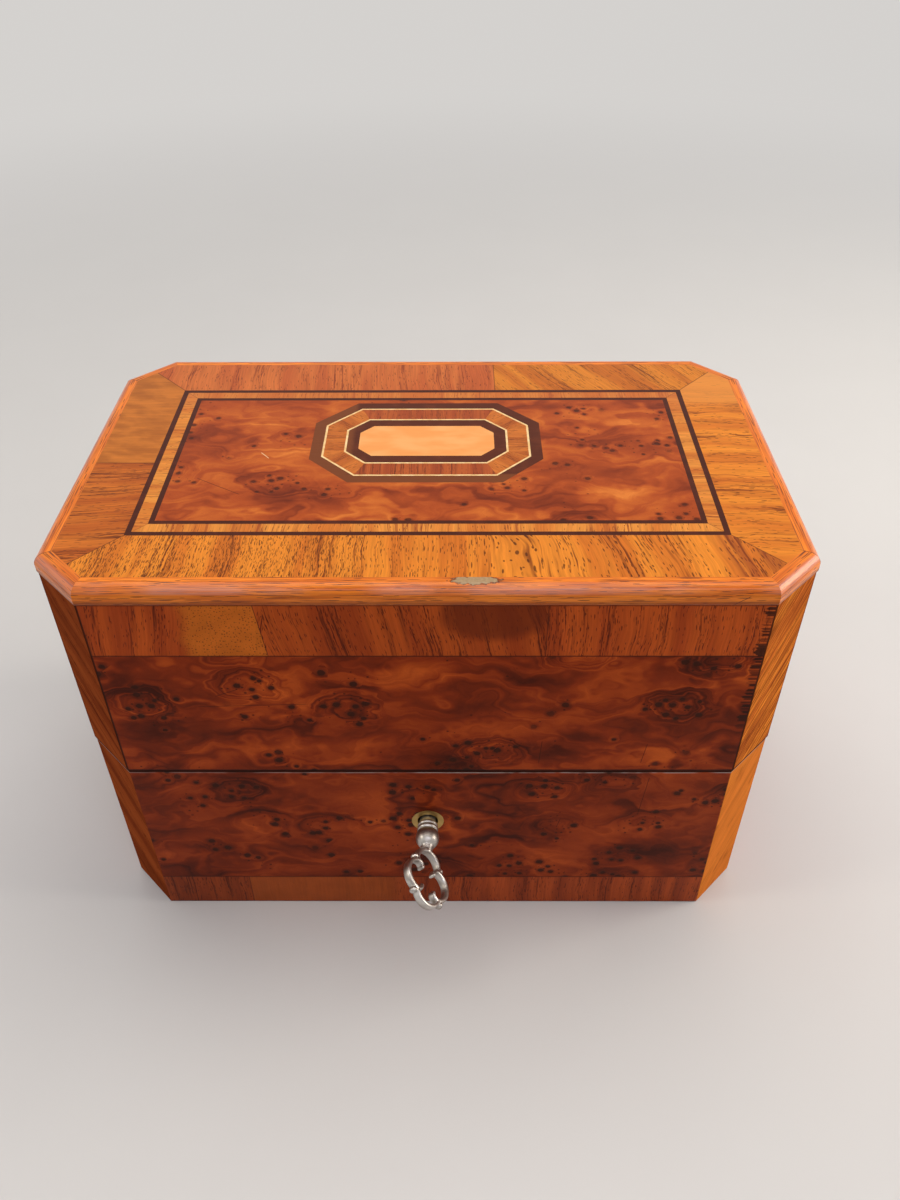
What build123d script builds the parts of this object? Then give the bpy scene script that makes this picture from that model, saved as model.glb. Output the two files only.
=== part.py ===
from build123d import *

import math
import os

# An inlaid jewelry box: canted corners, a deep hinged lid, a box lock with its key, a lift-out tray.
# Millimetres, +X to the right, +Y to the back, +Z up. The origin is the centre of the underside.

# Overall sizes, over the veneers of the lid
box_length = 200.0
box_depth = 121.0
box_height = 134.5
corner_cant = 13.2
base_height = 66.05
rim_gap = 0.3
base_step = 0.35

# Carcass and veneer thicknesses
wall = 9.0
bottom_board = 7.0
top_board = 9.0
underlay = 0.8
underlay_margin = 2.0
veneer = 1.0
veneer_lift = 0.3
arris_wear = 0.25

# Crossbanding on the walls
base_band = 14.0
lid_band = 17.1
base_band_joint = -59.0
lid_band_joints = (-41.0, 30.5)

# Edge moulding round the top
moulding_width = 4.3
moulding_height = 5.6
moulding_proud = 0.3
moulding_round = 3.0
moulding_under = 0.7

# Inlay of the top, from the moulding inwards
end_crossband = 16.7
long_crossband = 17.3
outer_string = 1.6
light_band = 3.5
inner_string = 1.5
top_band_joint = -4.0

# Cartouche in the middle of the top
cartouche_x = -1.1
cartouche_back_gap = 1.9
cartouche_half_length = 33.8
cartouche_depth_share = 0.69
cartouche_cant_share = 0.543
dark_border = 3.4
pale_line = 0.6
rose_band = 5.8
inner_border = 3.5

# Hinges
hinge_from_end = 38.0
hinge_length = 26.0
hinge_pin_inset = 3.2
knuckle_count = 5
knuckle_radius = 2.2
knuckle_gap = 0.2
knuckle_clearance = 0.35
pin_radius = 0.9
running_fit = 0.05
leaf_thickness = 1.2
leaf_reach = 6.6
opening_angle = 100.0
stop_margin = 0.6

# Screws
screw_head_radius = 1.7
screw_shank_radius = 0.9
screw_length = 6.2
screw_slot = 0.45
hinge_screw_count = 3
hinge_screw_pitch = 8.4

# Lock, placed from the key's axis
key_x = -1.0
key_drop = 23.05
lock_plate_thickness = 1.2
lock_plate_height = 36.0
lock_flange = 5.2
lock_depth = 6.45
case_wall = 0.9
case_end_play = 1.0
case_clearance = 0.2
bolt_thickness = 1.6
bolt_lift = 3.0
bolt_bar = 8.6
guide_drop = 2.9
finger_height = 2.7
finger_length = 5.0
finger_clearance = 0.6
upright_width = 3.2
staple_offsets = (-7.0, 11.0)
staple_thickness = 2.0
staple_width = 3.4
staple_leg = 0.6
staple_eye_play = 0.5
staple_foot = 1.3
stump_radius = 1.2
stump_offsets = (-9.0, 4.0)
drill_pin_radius = 1.0
spring_thickness = 0.35
spring_width = 1.6
spring_radius = 3.4
spring_stud_radius = 0.7
spring_start = 195.0
spring_sweep = 150.0
link_plate_length = 34.0
link_plate_width = 6.6
slot_play = 0.5

# Key
stem_radius = 2.5
stem_bore_depth = 8.0
stem_clearance = 0.35
bit_radius = 6.2
bit_thickness = 1.6
bit_width = 3.3
key_rest_turn = -41.0
key_throw = 60.0
bolt_travel = 5.3
neck_reach = 10.0
bow_reach = 21.2
bow_half_width = 8.0
bow_near_lobe = 9.8
bow_far_lobe = 8.0
bow_thickness = 2.5
bow_wire = 1.3
bow_ease = 0.25
cusp_across = 4.4
cusp_along = 4.6
cusp_point = 2.7
cusp_nub = 2.2
neck_radius = 1.9
neck_end_radius = 1.4
neck_tail = 1.4
ball_start = 0.6
ball_length = 5.3
ball_radius = 3.5
collar_radius = 3.15
collar_length = 1.5
second_collar_length = 1.3
stem_step = 0.3

# Escutcheon
escutcheon_radius = 4.8
escutcheon_rim = 1.7
escutcheon_depth = 2.5
escutcheon_proud = 0.1
bit_slot_width = 2.4

# Lining, tray and cushions
lining = 3.0
tray_ledge_drop = 22.25
thin_lining = 1.0
lining_setback = 3.0
pad_clearance = 0.3
floor_pad_height = 4.0
cushion_height = 8.5
tray_clearance = 0.5
tray_seat_gap = 0.2
tray_height = 19.0
tray_wall = 3.0
tray_floor_thickness = 2.0
tray_pad_thickness = 1.2
tray_divider = 2.0
tray_divider_drop = 2.0
tray_divider_x = -12.0
tray_cross_divider_x = 38.0
ring_roll_count = 9
ring_roll_gap = 4.4
ribbon_width = 10.0
ribbon_fold = 2.4
ribbon_thickness = 0.7
ribbon_rise = 3.4

# Sizes worked out from the ones above
lid_bottom = base_height + rim_gap
lid_ceiling = box_height - veneer - top_board
base_floor = underlay + bottom_board
lid_wall = wall + base_step
moulding_bottom = box_height - moulding_height
lid_band_bottom = moulding_bottom - lid_band
base_face_y = -box_depth / 2 + base_step
board_front_y = base_face_y + veneer
board_back_y = board_front_y + wall
key_z = base_height - key_drop
lock_back_y = board_back_y - lock_plate_thickness
lock_front_y = board_back_y - lock_depth
case_inner_y = lock_front_y + case_wall
mechanism_y = (case_inner_y + lock_back_y) / 2
hinge_x = box_length / 2 - hinge_from_end
pin_y = box_depth / 2 - hinge_pin_inset
pin_z = base_height + rim_gap / 2
bevel_angle = opening_angle / 2 + stop_margin
finger_top = base_height - lock_plate_thickness - 1.75
finger_bottom = finger_top - finger_height
bolt_left = staple_offsets[0] - staple_thickness / 2 - finger_clearance - finger_length - upright_width
bolt_right = staple_offsets[1] - staple_thickness / 2 - finger_clearance
lock_x = key_x + (bolt_left + bolt_right + bolt_travel) / 2
link_x = key_x + sum(staple_offsets) / 2
case_half = (bolt_right + bolt_travel - bolt_left) / 2 + case_end_play + case_wall
lock_plate_half = case_half + lock_flange
lining_top = base_height - tray_ledge_drop
tray_bottom = lining_top + tray_seat_gap
tray_top = tray_bottom + tray_height


class Outline:
    """A rectangle with canted corners, or square ones where the cant is 0, centred on a point."""

    def __init__(self, half_x, half_y, cant, centre=(0.0, 0.0)):
        self.half_x = half_x
        self.half_y = half_y
        self.cant = cant
        self.centre = centre

    def inset(self, distance):
        """The outline moved in evenly by a distance, its cants kept parallel."""
        cant = self.cant - (2 - math.sqrt(2)) * distance if self.cant else 0.0
        return Outline(self.half_x - distance, self.half_y - distance, cant, self.centre)

    def corners(self):
        """Its corners, anticlockwise from the left end of the front side."""
        x, y, c = self.half_x, self.half_y, self.cant
        if c:
            local = [(c - x, -y), (x - c, -y), (x, c - y), (x, y - c)]
            local += [(x - c, y), (c - x, y), (-x, y - c), (-x, c - y)]
        else:
            local = [(-x, -y), (x, -y), (x, y), (-x, y)]
        return [(self.centre[0] + a, self.centre[1] + b) for a, b in local]


lid_face = Outline(box_length / 2, box_depth / 2, corner_cant)
lid_carcass = lid_face.inset(veneer)
base_face = lid_face.inset(base_step)
base_carcass = base_face.inset(veneer)
cavity = base_carcass.inset(wall)
front, front_right, right, back_right, back, back_left, left, front_left = range(8)
straight_sides = (front, right, back, left)
cant_sides = (front_right, back_right, back_left, front_left)


def prism(points, bottom, top):
    """An upright prism on a plan outline."""
    plan = make_face(Polyline(*points, close=True))
    return Pos(0, 0, bottom) * extrude(plan, amount=top - bottom, dir=(0, 0, 1))


def strip(outer, inner, side, bottom, top):
    """The mitred length of a frame between two outlines, along one side."""
    outside = outer.corners()
    inside = inner.corners()
    following = (side + 1) % len(outside)
    points = [outside[side], outside[following], inside[following], inside[side]]
    return prism(points, bottom, top)


def frame_of(outer, inner, bottom, top):
    """Every mitred length of a frame between two outlines."""
    return [strip(outer, inner, side, bottom, top) for side in range(len(outer.corners()))]


def block(x, y, z):
    """A box from its low and high limits along each axis."""
    size = (x[1] - x[0], y[1] - y[0], z[1] - z[0])
    middle = ((x[0] + x[1]) / 2, (y[0] + y[1]) / 2, (z[0] + z[1]) / 2)
    return Pos(*middle) * Box(*size)


def sawn(piece, planes):
    """The piece sawn into lengths by planes, in the order of their normals."""
    lengths = []
    for plane in planes:
        lengths.append(split(piece, bisect_by=plane, keep=Keep.BOTTOM))
        piece = split(piece, bisect_by=plane, keep=Keep.TOP)
    return lengths + [piece]


def seen_from_front(sketch, back_y, front_y, x=key_x, z=key_z):
    """A sketch drawn as the front view shows it, extruded from one depth forwards to another."""
    plane = Plane(origin=(x, back_y, z), x_dir=(1, 0, 0), z_dir=(0, -1, 0))
    return extrude(plane * sketch, amount=back_y - front_y)


def rod_along_x(radius, start, end, y, z):
    """A round rod along X."""
    rod = Cylinder(radius, end - start, align=(Align.CENTER, Align.CENTER, Align.MIN))
    return Pos(start, y, z) * Rot(0, 90, 0) * rod


def rod_forwards(radius, back_y, front_y, x=key_x, z=key_z):
    """A round rod from one depth forwards to another."""
    return seen_from_front(Circle(radius), back_y, front_y, x, z)


def keyhole(radius, slot_width, reach):
    """A keyhole seen from the front: a round with a rounded slot below it."""
    slot = Pos(0, -reach / 2) * Rectangle(slot_width, reach)
    return Circle(radius) + slot + Pos(0, -reach) * Circle(slot_width / 2)


def hinge_groove(sign):
    """What the bevel takes off a back edge beside the hinge pins: of the lid for 1, of the base for -1."""
    beyond = hinge_pin_inset + 2
    fall = beyond * math.tan(math.radians(bevel_angle))
    points = [(pin_y, pin_z), (pin_y + beyond, pin_z + sign * fall)]
    points += [(pin_y + beyond, pin_z - sign), (pin_y, pin_z - sign)]
    plane = Plane(origin=(-box_length, 0, 0), x_dir=(0, 1, 0), z_dir=(1, 0, 0))
    section = plane * make_face(Polyline(*points, close=True))
    return extrude(section, amount=2 * box_length)


def corner_post(carcass, side, bottom, top):
    """A corner post: it carries the cant, and the boards butt against its two straight faces."""
    outside = carcass.corners()
    inside = cavity.corners()
    following = (side + 1) % 8
    first_turn = (inside[side][0], outside[side][1])
    second_turn = (outside[following][0], inside[following][1])
    if side in (back_right, front_left):
        first_turn = (outside[side][0], inside[side][1])
        second_turn = (inside[following][0], outside[following][1])
    points = [first_turn, outside[side], outside[following], second_turn, inside[following], inside[side]]
    return prism(points, bottom, top)


def side_board(carcass, side, bottom, top):
    """A straight board of the carcass, between two corner posts."""
    inside = cavity.corners()
    start, end = inside[side], inside[(side + 1) % 8]
    if side in (front, back):
        outer_y = math.copysign(carcass.half_y, start[1])
        points = [(start[0], outer_y), (end[0], outer_y), end, start]
    else:
        outer_x = math.copysign(carcass.half_x, start[0])
        points = [(outer_x, start[1]), (outer_x, end[1]), end, start]
    return prism(points, bottom, top)


# Screws

def screw_form(length, grow=0.0):
    """A countersunk screw pointing down, its head's top at the origin, or its hole where it's grown."""
    head = screw_head_radius + grow
    shank = screw_shank_radius + grow
    cone = head - shank
    points = [(0, 0), (head, 0), (shank, -cone), (shank, -length + shank)]
    points += [(0.15, -length - grow), (0, -length - grow)]
    section = Plane.XZ * make_face(Polyline(*points, close=True))
    return revolve(section, axis=Axis.Z)


def screw(length=screw_length):
    """A countersunk screw with its slot."""
    slot = Box(3 * screw_head_radius, screw_slot, 2 * screw_slot)
    return screw_form(length) - slot


def hinge_screw_spots():
    """Where the hinge screws stand in plan."""
    y = pin_y - (knuckle_radius + leaf_reach) / 2
    middle = (hinge_screw_count - 1) / 2
    for centre in (-hinge_x, hinge_x):
        for n in range(hinge_screw_count):
            yield (centre + (n - middle) * hinge_screw_pitch, y)


def lock_screw_spots():
    """Where the lock plate's screws stand, seen from the front."""
    reach = case_half + lock_flange / 2
    low = base_height - lock_plate_height + lock_flange / 2
    high = base_height - lock_flange - lock_plate_thickness
    return [(lock_x + side * reach, z) for side in (-1, 1) for z in (low, high)]


def link_screw_spots():
    """Where the link plate's screws stand in plan."""
    reach = link_plate_length / 2 - 1.5 * screw_head_radius
    return [(link_x - reach, mechanism_y), (link_x + reach, mechanism_y)]


def upright_screws(spots, z, up, grow=None):
    """Screws, or their holes, at plan spots with the head's face at a height, pointing down or up."""
    turn = Rot(180, 0, 0) if up else Rot(0, 0, 0)
    form = screw() if grow is None else screw_form(screw_length, grow)
    return [Pos(x, y, z) * turn * form for x, y in spots]


def lock_screws(grow=None):
    """The lock plate's screws, or their holes, driven forwards from inside."""
    form = screw() if grow is None else screw_form(screw_length, grow)
    return [Pos(x, board_back_y, z) * Rot(-90, 0, 0) * form for x, z in lock_screw_spots()]


# Hinges

def knuckle_spans(centre):
    """Each knuckle's number and the stretch it takes along X."""
    pitch = hinge_length / knuckle_count
    for n in range(knuckle_count):
        start = centre - hinge_length / 2 + n * pitch
        yield n, start + knuckle_gap / 2, start + pitch - knuckle_gap / 2


def hinge_leaf(centre, on_lid):
    """One leaf of a butt hinge with its own knuckles rolled round the pin's axis."""
    z = (lid_bottom, lid_bottom + leaf_thickness) if on_lid else (base_height - leaf_thickness, base_height)
    root_y = pin_y - knuckle_radius - knuckle_clearance
    ends = (centre - hinge_length / 2, centre + hinge_length / 2)
    leaf = block(ends, (pin_y - leaf_reach, root_y), z)
    for n, start, end in knuckle_spans(centre):
        if n % 2 == int(on_lid):
            leaf += block((start, end), (root_y - 0.5, pin_y), z)
            leaf += rod_along_x(knuckle_radius, start, end, pin_y, pin_z)
    leaf -= rod_along_x(pin_radius + running_fit, ends[0] - 1, ends[1] + 1, pin_y, pin_z)
    screws = upright_screws(hinge_screw_spots(), lid_bottom if on_lid else base_height, on_lid, running_fit)
    for hole in screws:
        leaf -= hole
    return leaf


def hinge_recess(on_lid):
    """What is cut from a back board for both hinges: leaf seats, knuckle hollows and screw holes."""
    z = (base_height - leaf_thickness, base_height + 1)
    if on_lid:
        z = (lid_bottom - 1, lid_bottom + leaf_thickness)
    cuts = upright_screws(hinge_screw_spots(), lid_bottom if on_lid else base_height, on_lid, running_fit)
    for centre in (-hinge_x, hinge_x):
        half = hinge_length / 2 + knuckle_gap
        cuts.append(block((centre - half, centre + half), (pin_y - leaf_reach - running_fit, pin_y), z))
        hollow = knuckle_radius + knuckle_clearance
        cuts.append(rod_along_x(hollow, centre - half, centre + half, pin_y, pin_z))
    return cuts


def hinge_pin(centre):
    """A hinge pin with softly rounded ends."""
    pin = rod_along_x(pin_radius, centre - hinge_length / 2, centre + hinge_length / 2, pin_y, pin_z)
    return chamfer(pin.edges().filter_by(GeomType.CIRCLE), 0.2)


# Lock

def lock_recess():
    """What is cut from the base's front board for the lock: seats, mortise, keyhole and screw holes."""
    half_case = case_half + case_clearance
    low = base_height - lock_plate_height
    plate_x = (lock_x - lock_plate_half, lock_x + lock_plate_half)
    cuts = [block(plate_x, (lock_back_y, board_back_y + 1), (low, base_height + 1))]
    seat = (base_height - lock_plate_thickness, base_height + 1)
    cuts.append(block(plate_x, (lock_front_y, board_back_y), seat))
    mortise_x = (lock_x - half_case, lock_x + half_case)
    mortise_z = (low + lock_flange - case_clearance, base_height)
    cuts.append(block(mortise_x, (lock_front_y - case_clearance, board_back_y), mortise_z))
    slot_reach = bit_radius + stem_clearance
    hole = keyhole(stem_radius + stem_clearance, bit_slot_width, slot_reach)
    cuts.append(seen_from_front(hole, board_back_y, base_face_y - 1))
    cuts.append(escutcheon_blank())
    return cuts + lock_screws(running_fit)


def lock_plate():
    """The lock's plate: a selvedge along the rim, slotted for the staples, and the bolt's two stumps."""
    x = (lock_x - lock_plate_half, lock_x + lock_plate_half)
    low = base_height - lock_plate_height
    plate = block(x, (lock_back_y, board_back_y), (low, base_height))
    selvedge = (base_height - lock_plate_thickness, base_height)
    plate += block(x, (lock_front_y, board_back_y), selvedge)
    for offset in staple_offsets:
        centre = key_x + offset
        across = staple_thickness / 2 + slot_play
        deep = staple_width / 2 + slot_play
        slot_y = (mechanism_y - deep, mechanism_y + deep)
        slot_z = (selvedge[0] - 1, base_height + 1)
        plate -= block((centre - across, centre + across), slot_y, slot_z)
    for offset in stump_offsets:
        z = key_z + bolt_lift + bolt_bar - guide_drop
        plate += rod_forwards(stump_radius, lock_back_y, case_inner_y + running_fit, key_x + offset, z)
    stud_x, stud_z = spring_stud_spot()
    plate += rod_forwards(spring_stud_radius, lock_back_y, mechanism_y - spring_width / 2, stud_x, stud_z)
    plate -= rod_forwards(drill_pin_radius + running_fit, board_back_y + 1, lock_back_y - 1)
    for hole in lock_screws(running_fit):
        plate -= hole
    return plate


def lock_case():
    """The shallow pan over the works, open at the top under the selvedge, with the keyhole in its front."""
    low = base_height - lock_plate_height + lock_flange
    top = base_height - lock_plate_thickness
    pan = block((lock_x - case_half, lock_x + case_half), (lock_front_y, lock_back_y), (low, top))
    inner = case_half - case_wall
    inside_x = (lock_x - inner, lock_x + inner)
    pan -= block(inside_x, (case_inner_y, lock_back_y + 1), (low + case_wall, top + 1))
    hole = keyhole(stem_radius + stem_clearance, bit_slot_width, bit_radius + stem_clearance)
    return pan - seen_from_front(hole, case_inner_y + 1, lock_front_y - 1)


def drill_pin():
    """The pin that the hollow key goes over, riveted in the lock's plate, its tip rounded."""
    tip = lock_back_y - stem_bore_depth + 1.2
    pin = rod_forwards(drill_pin_radius, board_back_y, tip)
    nose = pin.edges().filter_by(GeomType.CIRCLE).sort_by(Axis.Y)[0]
    return fillet(nose, 0.6 * drill_pin_radius)


def bolt():
    """The bolt: a bar that rides on the stumps, with a talon for the key and two fingers for the staples."""
    low = bolt_lift
    high = bolt_lift + bolt_bar
    bar = Rectangle(bolt_right - bolt_left, bolt_bar)
    sketch = Pos((bolt_left + bolt_right) / 2, (low + high) / 2) * bar
    for offset in staple_offsets:
        tip = offset - staple_thickness / 2 - finger_clearance
        root = tip - finger_length
        rise = finger_top - key_z
        upright = (root - upright_width / 2, (low + rise) / 2)
        sketch += Pos(*upright) * Rectangle(upright_width, rise - low)
        finger = ((root - 0.5 + tip) / 2, rise - finger_height / 2)
        sketch += Pos(*finger) * Rectangle(finger_length + 0.5, finger_height)
    sketch -= talon()
    for offset in stump_offsets:
        slot_radius = stump_radius + 2 * running_fit
        middle = (offset - bolt_travel / 2, bolt_lift + bolt_bar - guide_drop)
        sketch -= Pos(*middle) * SlotCenterToCenter(bolt_travel, 2 * slot_radius)
    depth = bolt_thickness / 2
    return seen_from_front(sketch, mechanism_y + depth, mechanism_y - depth)


def talon():
    """The notch that the bit turns in, seen from the front, wider at its mouth than at its roof."""
    play = 0.5
    half = bit_thickness / 2
    roof = bit_radius + play
    start = math.radians(key_rest_turn)
    left = -bolt_travel - half - play
    swept = bit_radius * math.sin(start + math.radians(key_throw / 2))
    right = swept - bolt_travel / 2 + 1.2 * bit_thickness + play
    points = [(left, bolt_lift - 1), (right + 1, bolt_lift - 1), (right, roof - 2.4)]
    points += [(right - 1.2, roof), (left, roof)]
    return make_face(Polyline(*points, close=True))


def spring_room():
    """The middle of the spring's bow, from the key's axis: clear of both uprights at either end."""
    left_upright = bolt_left + upright_width + bolt_travel
    right_upright = bolt_right - finger_length - upright_width
    height = bolt_lift + bolt_bar + spring_radius + spring_thickness
    return (left_upright + right_upright) / 2, height


def spring_stud_spot():
    """Where the stud stands that holds the spring's left end down."""
    x, z = spring_room()
    angle = math.radians(spring_start)
    reach = spring_radius - spring_thickness / 2 - spring_stud_radius - running_fit
    return key_x + x + reach * math.cos(angle), key_z + z + reach * math.sin(angle)


def lock_spring():
    """A bowed flat spring that bears on the bolt's bar, its left end under a stud on the plate."""
    bow = SlotArc(CenterArc(spring_room(), spring_radius, spring_start, spring_sweep), spring_thickness)
    depth = spring_width / 2
    return seen_from_front(bow, mechanism_y + depth, mechanism_y - depth)


def link_blank(low):
    """The block that the link plate fills, from a height up to the plate's upper face."""
    x = (link_x - link_plate_length / 2, link_x + link_plate_length / 2)
    y = (mechanism_y - link_plate_width / 2, mechanism_y + link_plate_width / 2)
    return block(x, y, (low, lid_bottom + lock_plate_thickness))


def link_plate():
    """The plate in the lid's front edge, with the two staples that the bolt's fingers enter."""
    plate = link_blank(lid_bottom)
    eye_low = finger_bottom - staple_eye_play
    eye_high = finger_top + staple_eye_play
    for offset in staple_offsets:
        across = (key_x + offset - staple_thickness / 2, key_x + offset + staple_thickness / 2)
        deep = staple_width / 2
        leg = block(across, (mechanism_y - deep, mechanism_y + deep), (eye_low - staple_foot, lid_bottom))
        clear = deep - staple_leg
        eye_x = (across[0] - 1, across[1] + 1)
        leg -= block(eye_x, (mechanism_y - clear, mechanism_y + clear), (eye_low, eye_high))
        plate += leg
    for hole in upright_screws(link_screw_spots(), lid_bottom, True, running_fit):
        plate -= hole
    return plate


def link_recess():
    """What is cut from the lid's front board for the link plate and its screws."""
    return [link_blank(lid_bottom - 1)] + upright_screws(link_screw_spots(), lid_bottom, True, running_fit)


# Escutcheon and key

def escutcheon_outline():
    """The escutcheon's outer form, seen from the front."""
    return keyhole(escutcheon_radius, bit_slot_width + 2 * escutcheon_rim, bit_radius + stem_clearance)


def escutcheon_blank():
    """The whole block that the escutcheon fills, cut from veneer and board."""
    return seen_from_front(escutcheon_outline(), base_face_y + escutcheon_depth, base_face_y - 1)


def escutcheon():
    """A brass keyhole lining, let in and standing a hair proud, its face edge eased."""
    front_y = base_face_y - escutcheon_proud
    ring = seen_from_front(escutcheon_outline(), base_face_y + escutcheon_depth, front_y)
    hole = keyhole(escutcheon_radius - escutcheon_rim, bit_slot_width, bit_radius + stem_clearance)
    return ring - seen_from_front(hole, base_face_y + escutcheon_depth + 1, front_y - 1)


def key_stem():
    """The turned stem: hollow barrel, two ring collars, a ball and the neck of the bow."""
    end = lock_back_y - 0.3
    face = base_face_y
    neck = face - neck_reach
    tail = neck - neck_tail
    ball = neck + ball_start
    crown = ball + 0.57 * ball_length
    waist = ball + ball_length
    ring = waist + collar_length
    barrel = ring + second_collar_length
    step = stem_radius + stem_step
    with BuildPart() as stem:
        with BuildSketch(Plane.XY) as section:
            with BuildLine():
                Polyline((0, tail), (neck_end_radius, tail), (neck_radius, ball))
                ThreePointArc((neck_radius, ball), (ball_radius, crown), (step, waist))
                ThreePointArc((step, waist), (collar_radius, (waist + ring) / 2), (step, ring))
                second = (0.97 * collar_radius, (ring + barrel) / 2)
                ThreePointArc((step, ring), second, (stem_radius, barrel))
                Polyline((stem_radius, barrel), (stem_radius, end), (0, end), (0, tail))
            make_face()
        revolve(axis=Axis.Y)
    bore = drill_pin_radius + running_fit
    hollow = Pos(0, end + 1, 0) * Rot(90, 0, 0) * Cylinder(
        bore, stem_bore_depth + 1, align=(Align.CENTER, Align.CENTER, Align.MIN)
    )
    return stem.part - hollow


def lobe(reach, cusp_at, half_chord, heading):
    """One lobe of the bow: an arc from cusp to cusp whose crown is at its reach from the bow's middle."""
    middle = (reach**2 - cusp_at**2 - half_chord**2) / (2 * (reach - cusp_at))
    half_sweep = math.degrees(math.atan2(half_chord, cusp_at - middle))
    arc = CenterArc((middle, 0), reach - middle, -half_sweep, 2 * half_sweep)
    return Rot(0, 0, heading) * SlotArc(arc, bow_wire)


def cusp(across, along):
    """What crosses the bow where two lobes meet: a sharp point inwards and a blunt nub outwards."""
    half = bow_wire / 2
    upper = [(-cusp_point, 0.3 * half), (-0.4 * cusp_point, half), (0.2 * cusp_nub, 1.3 * half)]
    upper += [(0.7 * cusp_nub, 1.2 * half), (cusp_nub, 0.55 * half)]
    lower = [(x, -y) for x, y in reversed(upper)]
    heading = math.degrees(math.atan2(along, across))
    return Pos(across, along) * Rot(0, 0, heading) * make_face(Polyline(*upper, *lower, close=True))


def key_bow():
    """The open bow: four lobes, on the stem's axis and across it, with a cusp between each two."""
    form = lobe(bow_far_lobe, cusp_along, cusp_across, 90)
    form += lobe(bow_near_lobe, cusp_along, cusp_across, 270)
    for heading in (0, 180):
        form += lobe(bow_half_width, cusp_across, cusp_along, heading)
    for across in (-cusp_across, cusp_across):
        for along in (-cusp_along, cusp_along):
            form += cusp(across, along)
    plane = Plane(origin=(0, base_face_y - bow_reach, 0), x_dir=(0, 0, 1), z_dir=(1, 0, 0))
    bow = extrude(plane * form, amount=bow_thickness / 2, both=True)
    faces = bow.faces().sort_by(Axis.X)
    return chamfer(faces[0].edges() + faces[-1].edges(), bow_ease)


def key():
    """The pipe key, turned to where it rests with its bit just short of the talon."""
    bit_back = lock_back_y - 0.5
    bit = block(
        (-bit_thickness / 2, bit_thickness / 2),
        (bit_back - bit_width, bit_back),
        (stem_radius - 0.4, bit_radius),
    )
    whole = key_stem() + bit + key_bow()
    return Pos(key_x, 0, key_z) * Rot(0, key_rest_turn, 0) * whole


# Base

def with_cuts(piece, cuts):
    """A piece with each cut taken out of it."""
    for cut in cuts:
        piece -= cut
    return piece


def base_front_board():
    return with_cuts(side_board(base_carcass, front, base_floor, base_height), lock_recess())


def base_back_board():
    board = side_board(base_carcass, back, base_floor, base_height) - hinge_groove(-1)
    return with_cuts(board, hinge_recess(False))


def base_posts():
    posts = [corner_post(base_carcass, side, base_floor, base_height) for side in cant_sides]
    return [post - hinge_groove(-1) for post in posts]


def base_veneer(side, bottom, top):
    return strip(base_face, base_carcass, side, bottom, top) - hinge_groove(-1)


def base_front_burr():
    burr = base_veneer(front, base_band, base_height - arris_wear)
    return burr - escutcheon_blank()


def base_front_band():
    return sawn(base_veneer(front, veneer_lift, base_band), [Plane.YZ.offset(base_band_joint)])


# Lid

def lid_front_board():
    return with_cuts(side_board(lid_carcass, front, lid_bottom, lid_ceiling), link_recess())


def lid_back_board():
    board = side_board(lid_carcass, back, lid_bottom, lid_ceiling) - hinge_groove(1)
    return with_cuts(board, hinge_recess(True))


def lid_posts():
    posts = [corner_post(lid_carcass, side, lid_bottom, lid_ceiling) for side in cant_sides]
    return [post - hinge_groove(1) for post in posts]


def lid_veneer(side, bottom, top):
    return strip(lid_face, lid_carcass, side, bottom, top) - hinge_groove(1)


def lid_top_board():
    """The top board, rebated round its upper edge for the moulding."""
    lower = prism(lid_carcass.corners(), lid_ceiling, moulding_bottom)
    upper = prism(lid_face.inset(moulding_width).corners(), moulding_bottom, box_height - veneer)
    return lower + upper


def lid_front_band():
    band = lid_veneer(front, lid_band_bottom, moulding_bottom)
    return sawn(band, [Plane.YZ.offset(x) for x in lid_band_joints])


def moulding_section():
    """The moulding across its run: a flat on top, a round nose and an eased lower edge."""
    width = moulding_width + moulding_proud
    nose = -moulding_proud
    height = moulding_height
    r = moulding_round
    u = moulding_under
    diagonal = math.sqrt(0.5)
    on_top_arc = (nose + r - r * diagonal, height - r + r * diagonal)
    top_arc = ThreePointArc((nose + r, height), on_top_arc, (nose, height - r))
    low_arc = ThreePointArc((nose, u), (nose + u - u * diagonal, u - u * diagonal), (nose + u, 0))
    back_line = Line((nose + width, 0), (nose + width, height))
    top_line = Line((nose + width, height), (nose + r, height))
    under_line = Line((nose + u, 0), (nose + width, 0))
    edges = [back_line, top_line, top_arc, Line((nose, height - r), (nose, u)), low_arc, under_line]
    return make_face(Wire(edges))


def moulding(side):
    """One length of the edge moulding, mitred to its neighbours."""
    corners = lid_face.corners()
    start, end = corners[side], corners[(side + 1) % 8]
    length = math.dist(start, end)
    along = Vector((end[0] - start[0]) / length, (end[1] - start[1]) / length, 0)
    inward = Vector(-along.Y, along.X, 0)
    middle = ((start[0] + end[0]) / 2, (start[1] + end[1]) / 2, moulding_bottom)
    plane = Plane(origin=middle, x_dir=inward, z_dir=along)
    run = extrude(plane * moulding_section(), amount=length, both=True)
    outer = lid_face.inset(-moulding_proud - 1)
    inner = lid_face.inset(moulding_width + 1)
    return run & strip(outer, inner, side, moulding_bottom - 1, box_height + 1)


# Inlay of the top

surface = (box_height - veneer, box_height)
string_half_length = box_length / 2 - moulding_width - end_crossband
string_half_depth = box_depth / 2 - moulding_width - long_crossband
string_line = Outline(string_half_length, string_half_depth, 0.0)
light_line = string_line.inset(outer_string)
inner_line = light_line.inset(light_band)
panel_line = inner_line.inset(inner_string)
cartouche_half_depth = cartouche_depth_share * panel_line.half_y
cartouche_cant = cartouche_cant_share * cartouche_half_depth
cartouche_y = panel_line.half_y - cartouche_back_gap - cartouche_half_depth
cartouche_line = Outline(
    cartouche_half_length, cartouche_half_depth, cartouche_cant, (cartouche_x, cartouche_y)
)


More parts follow.
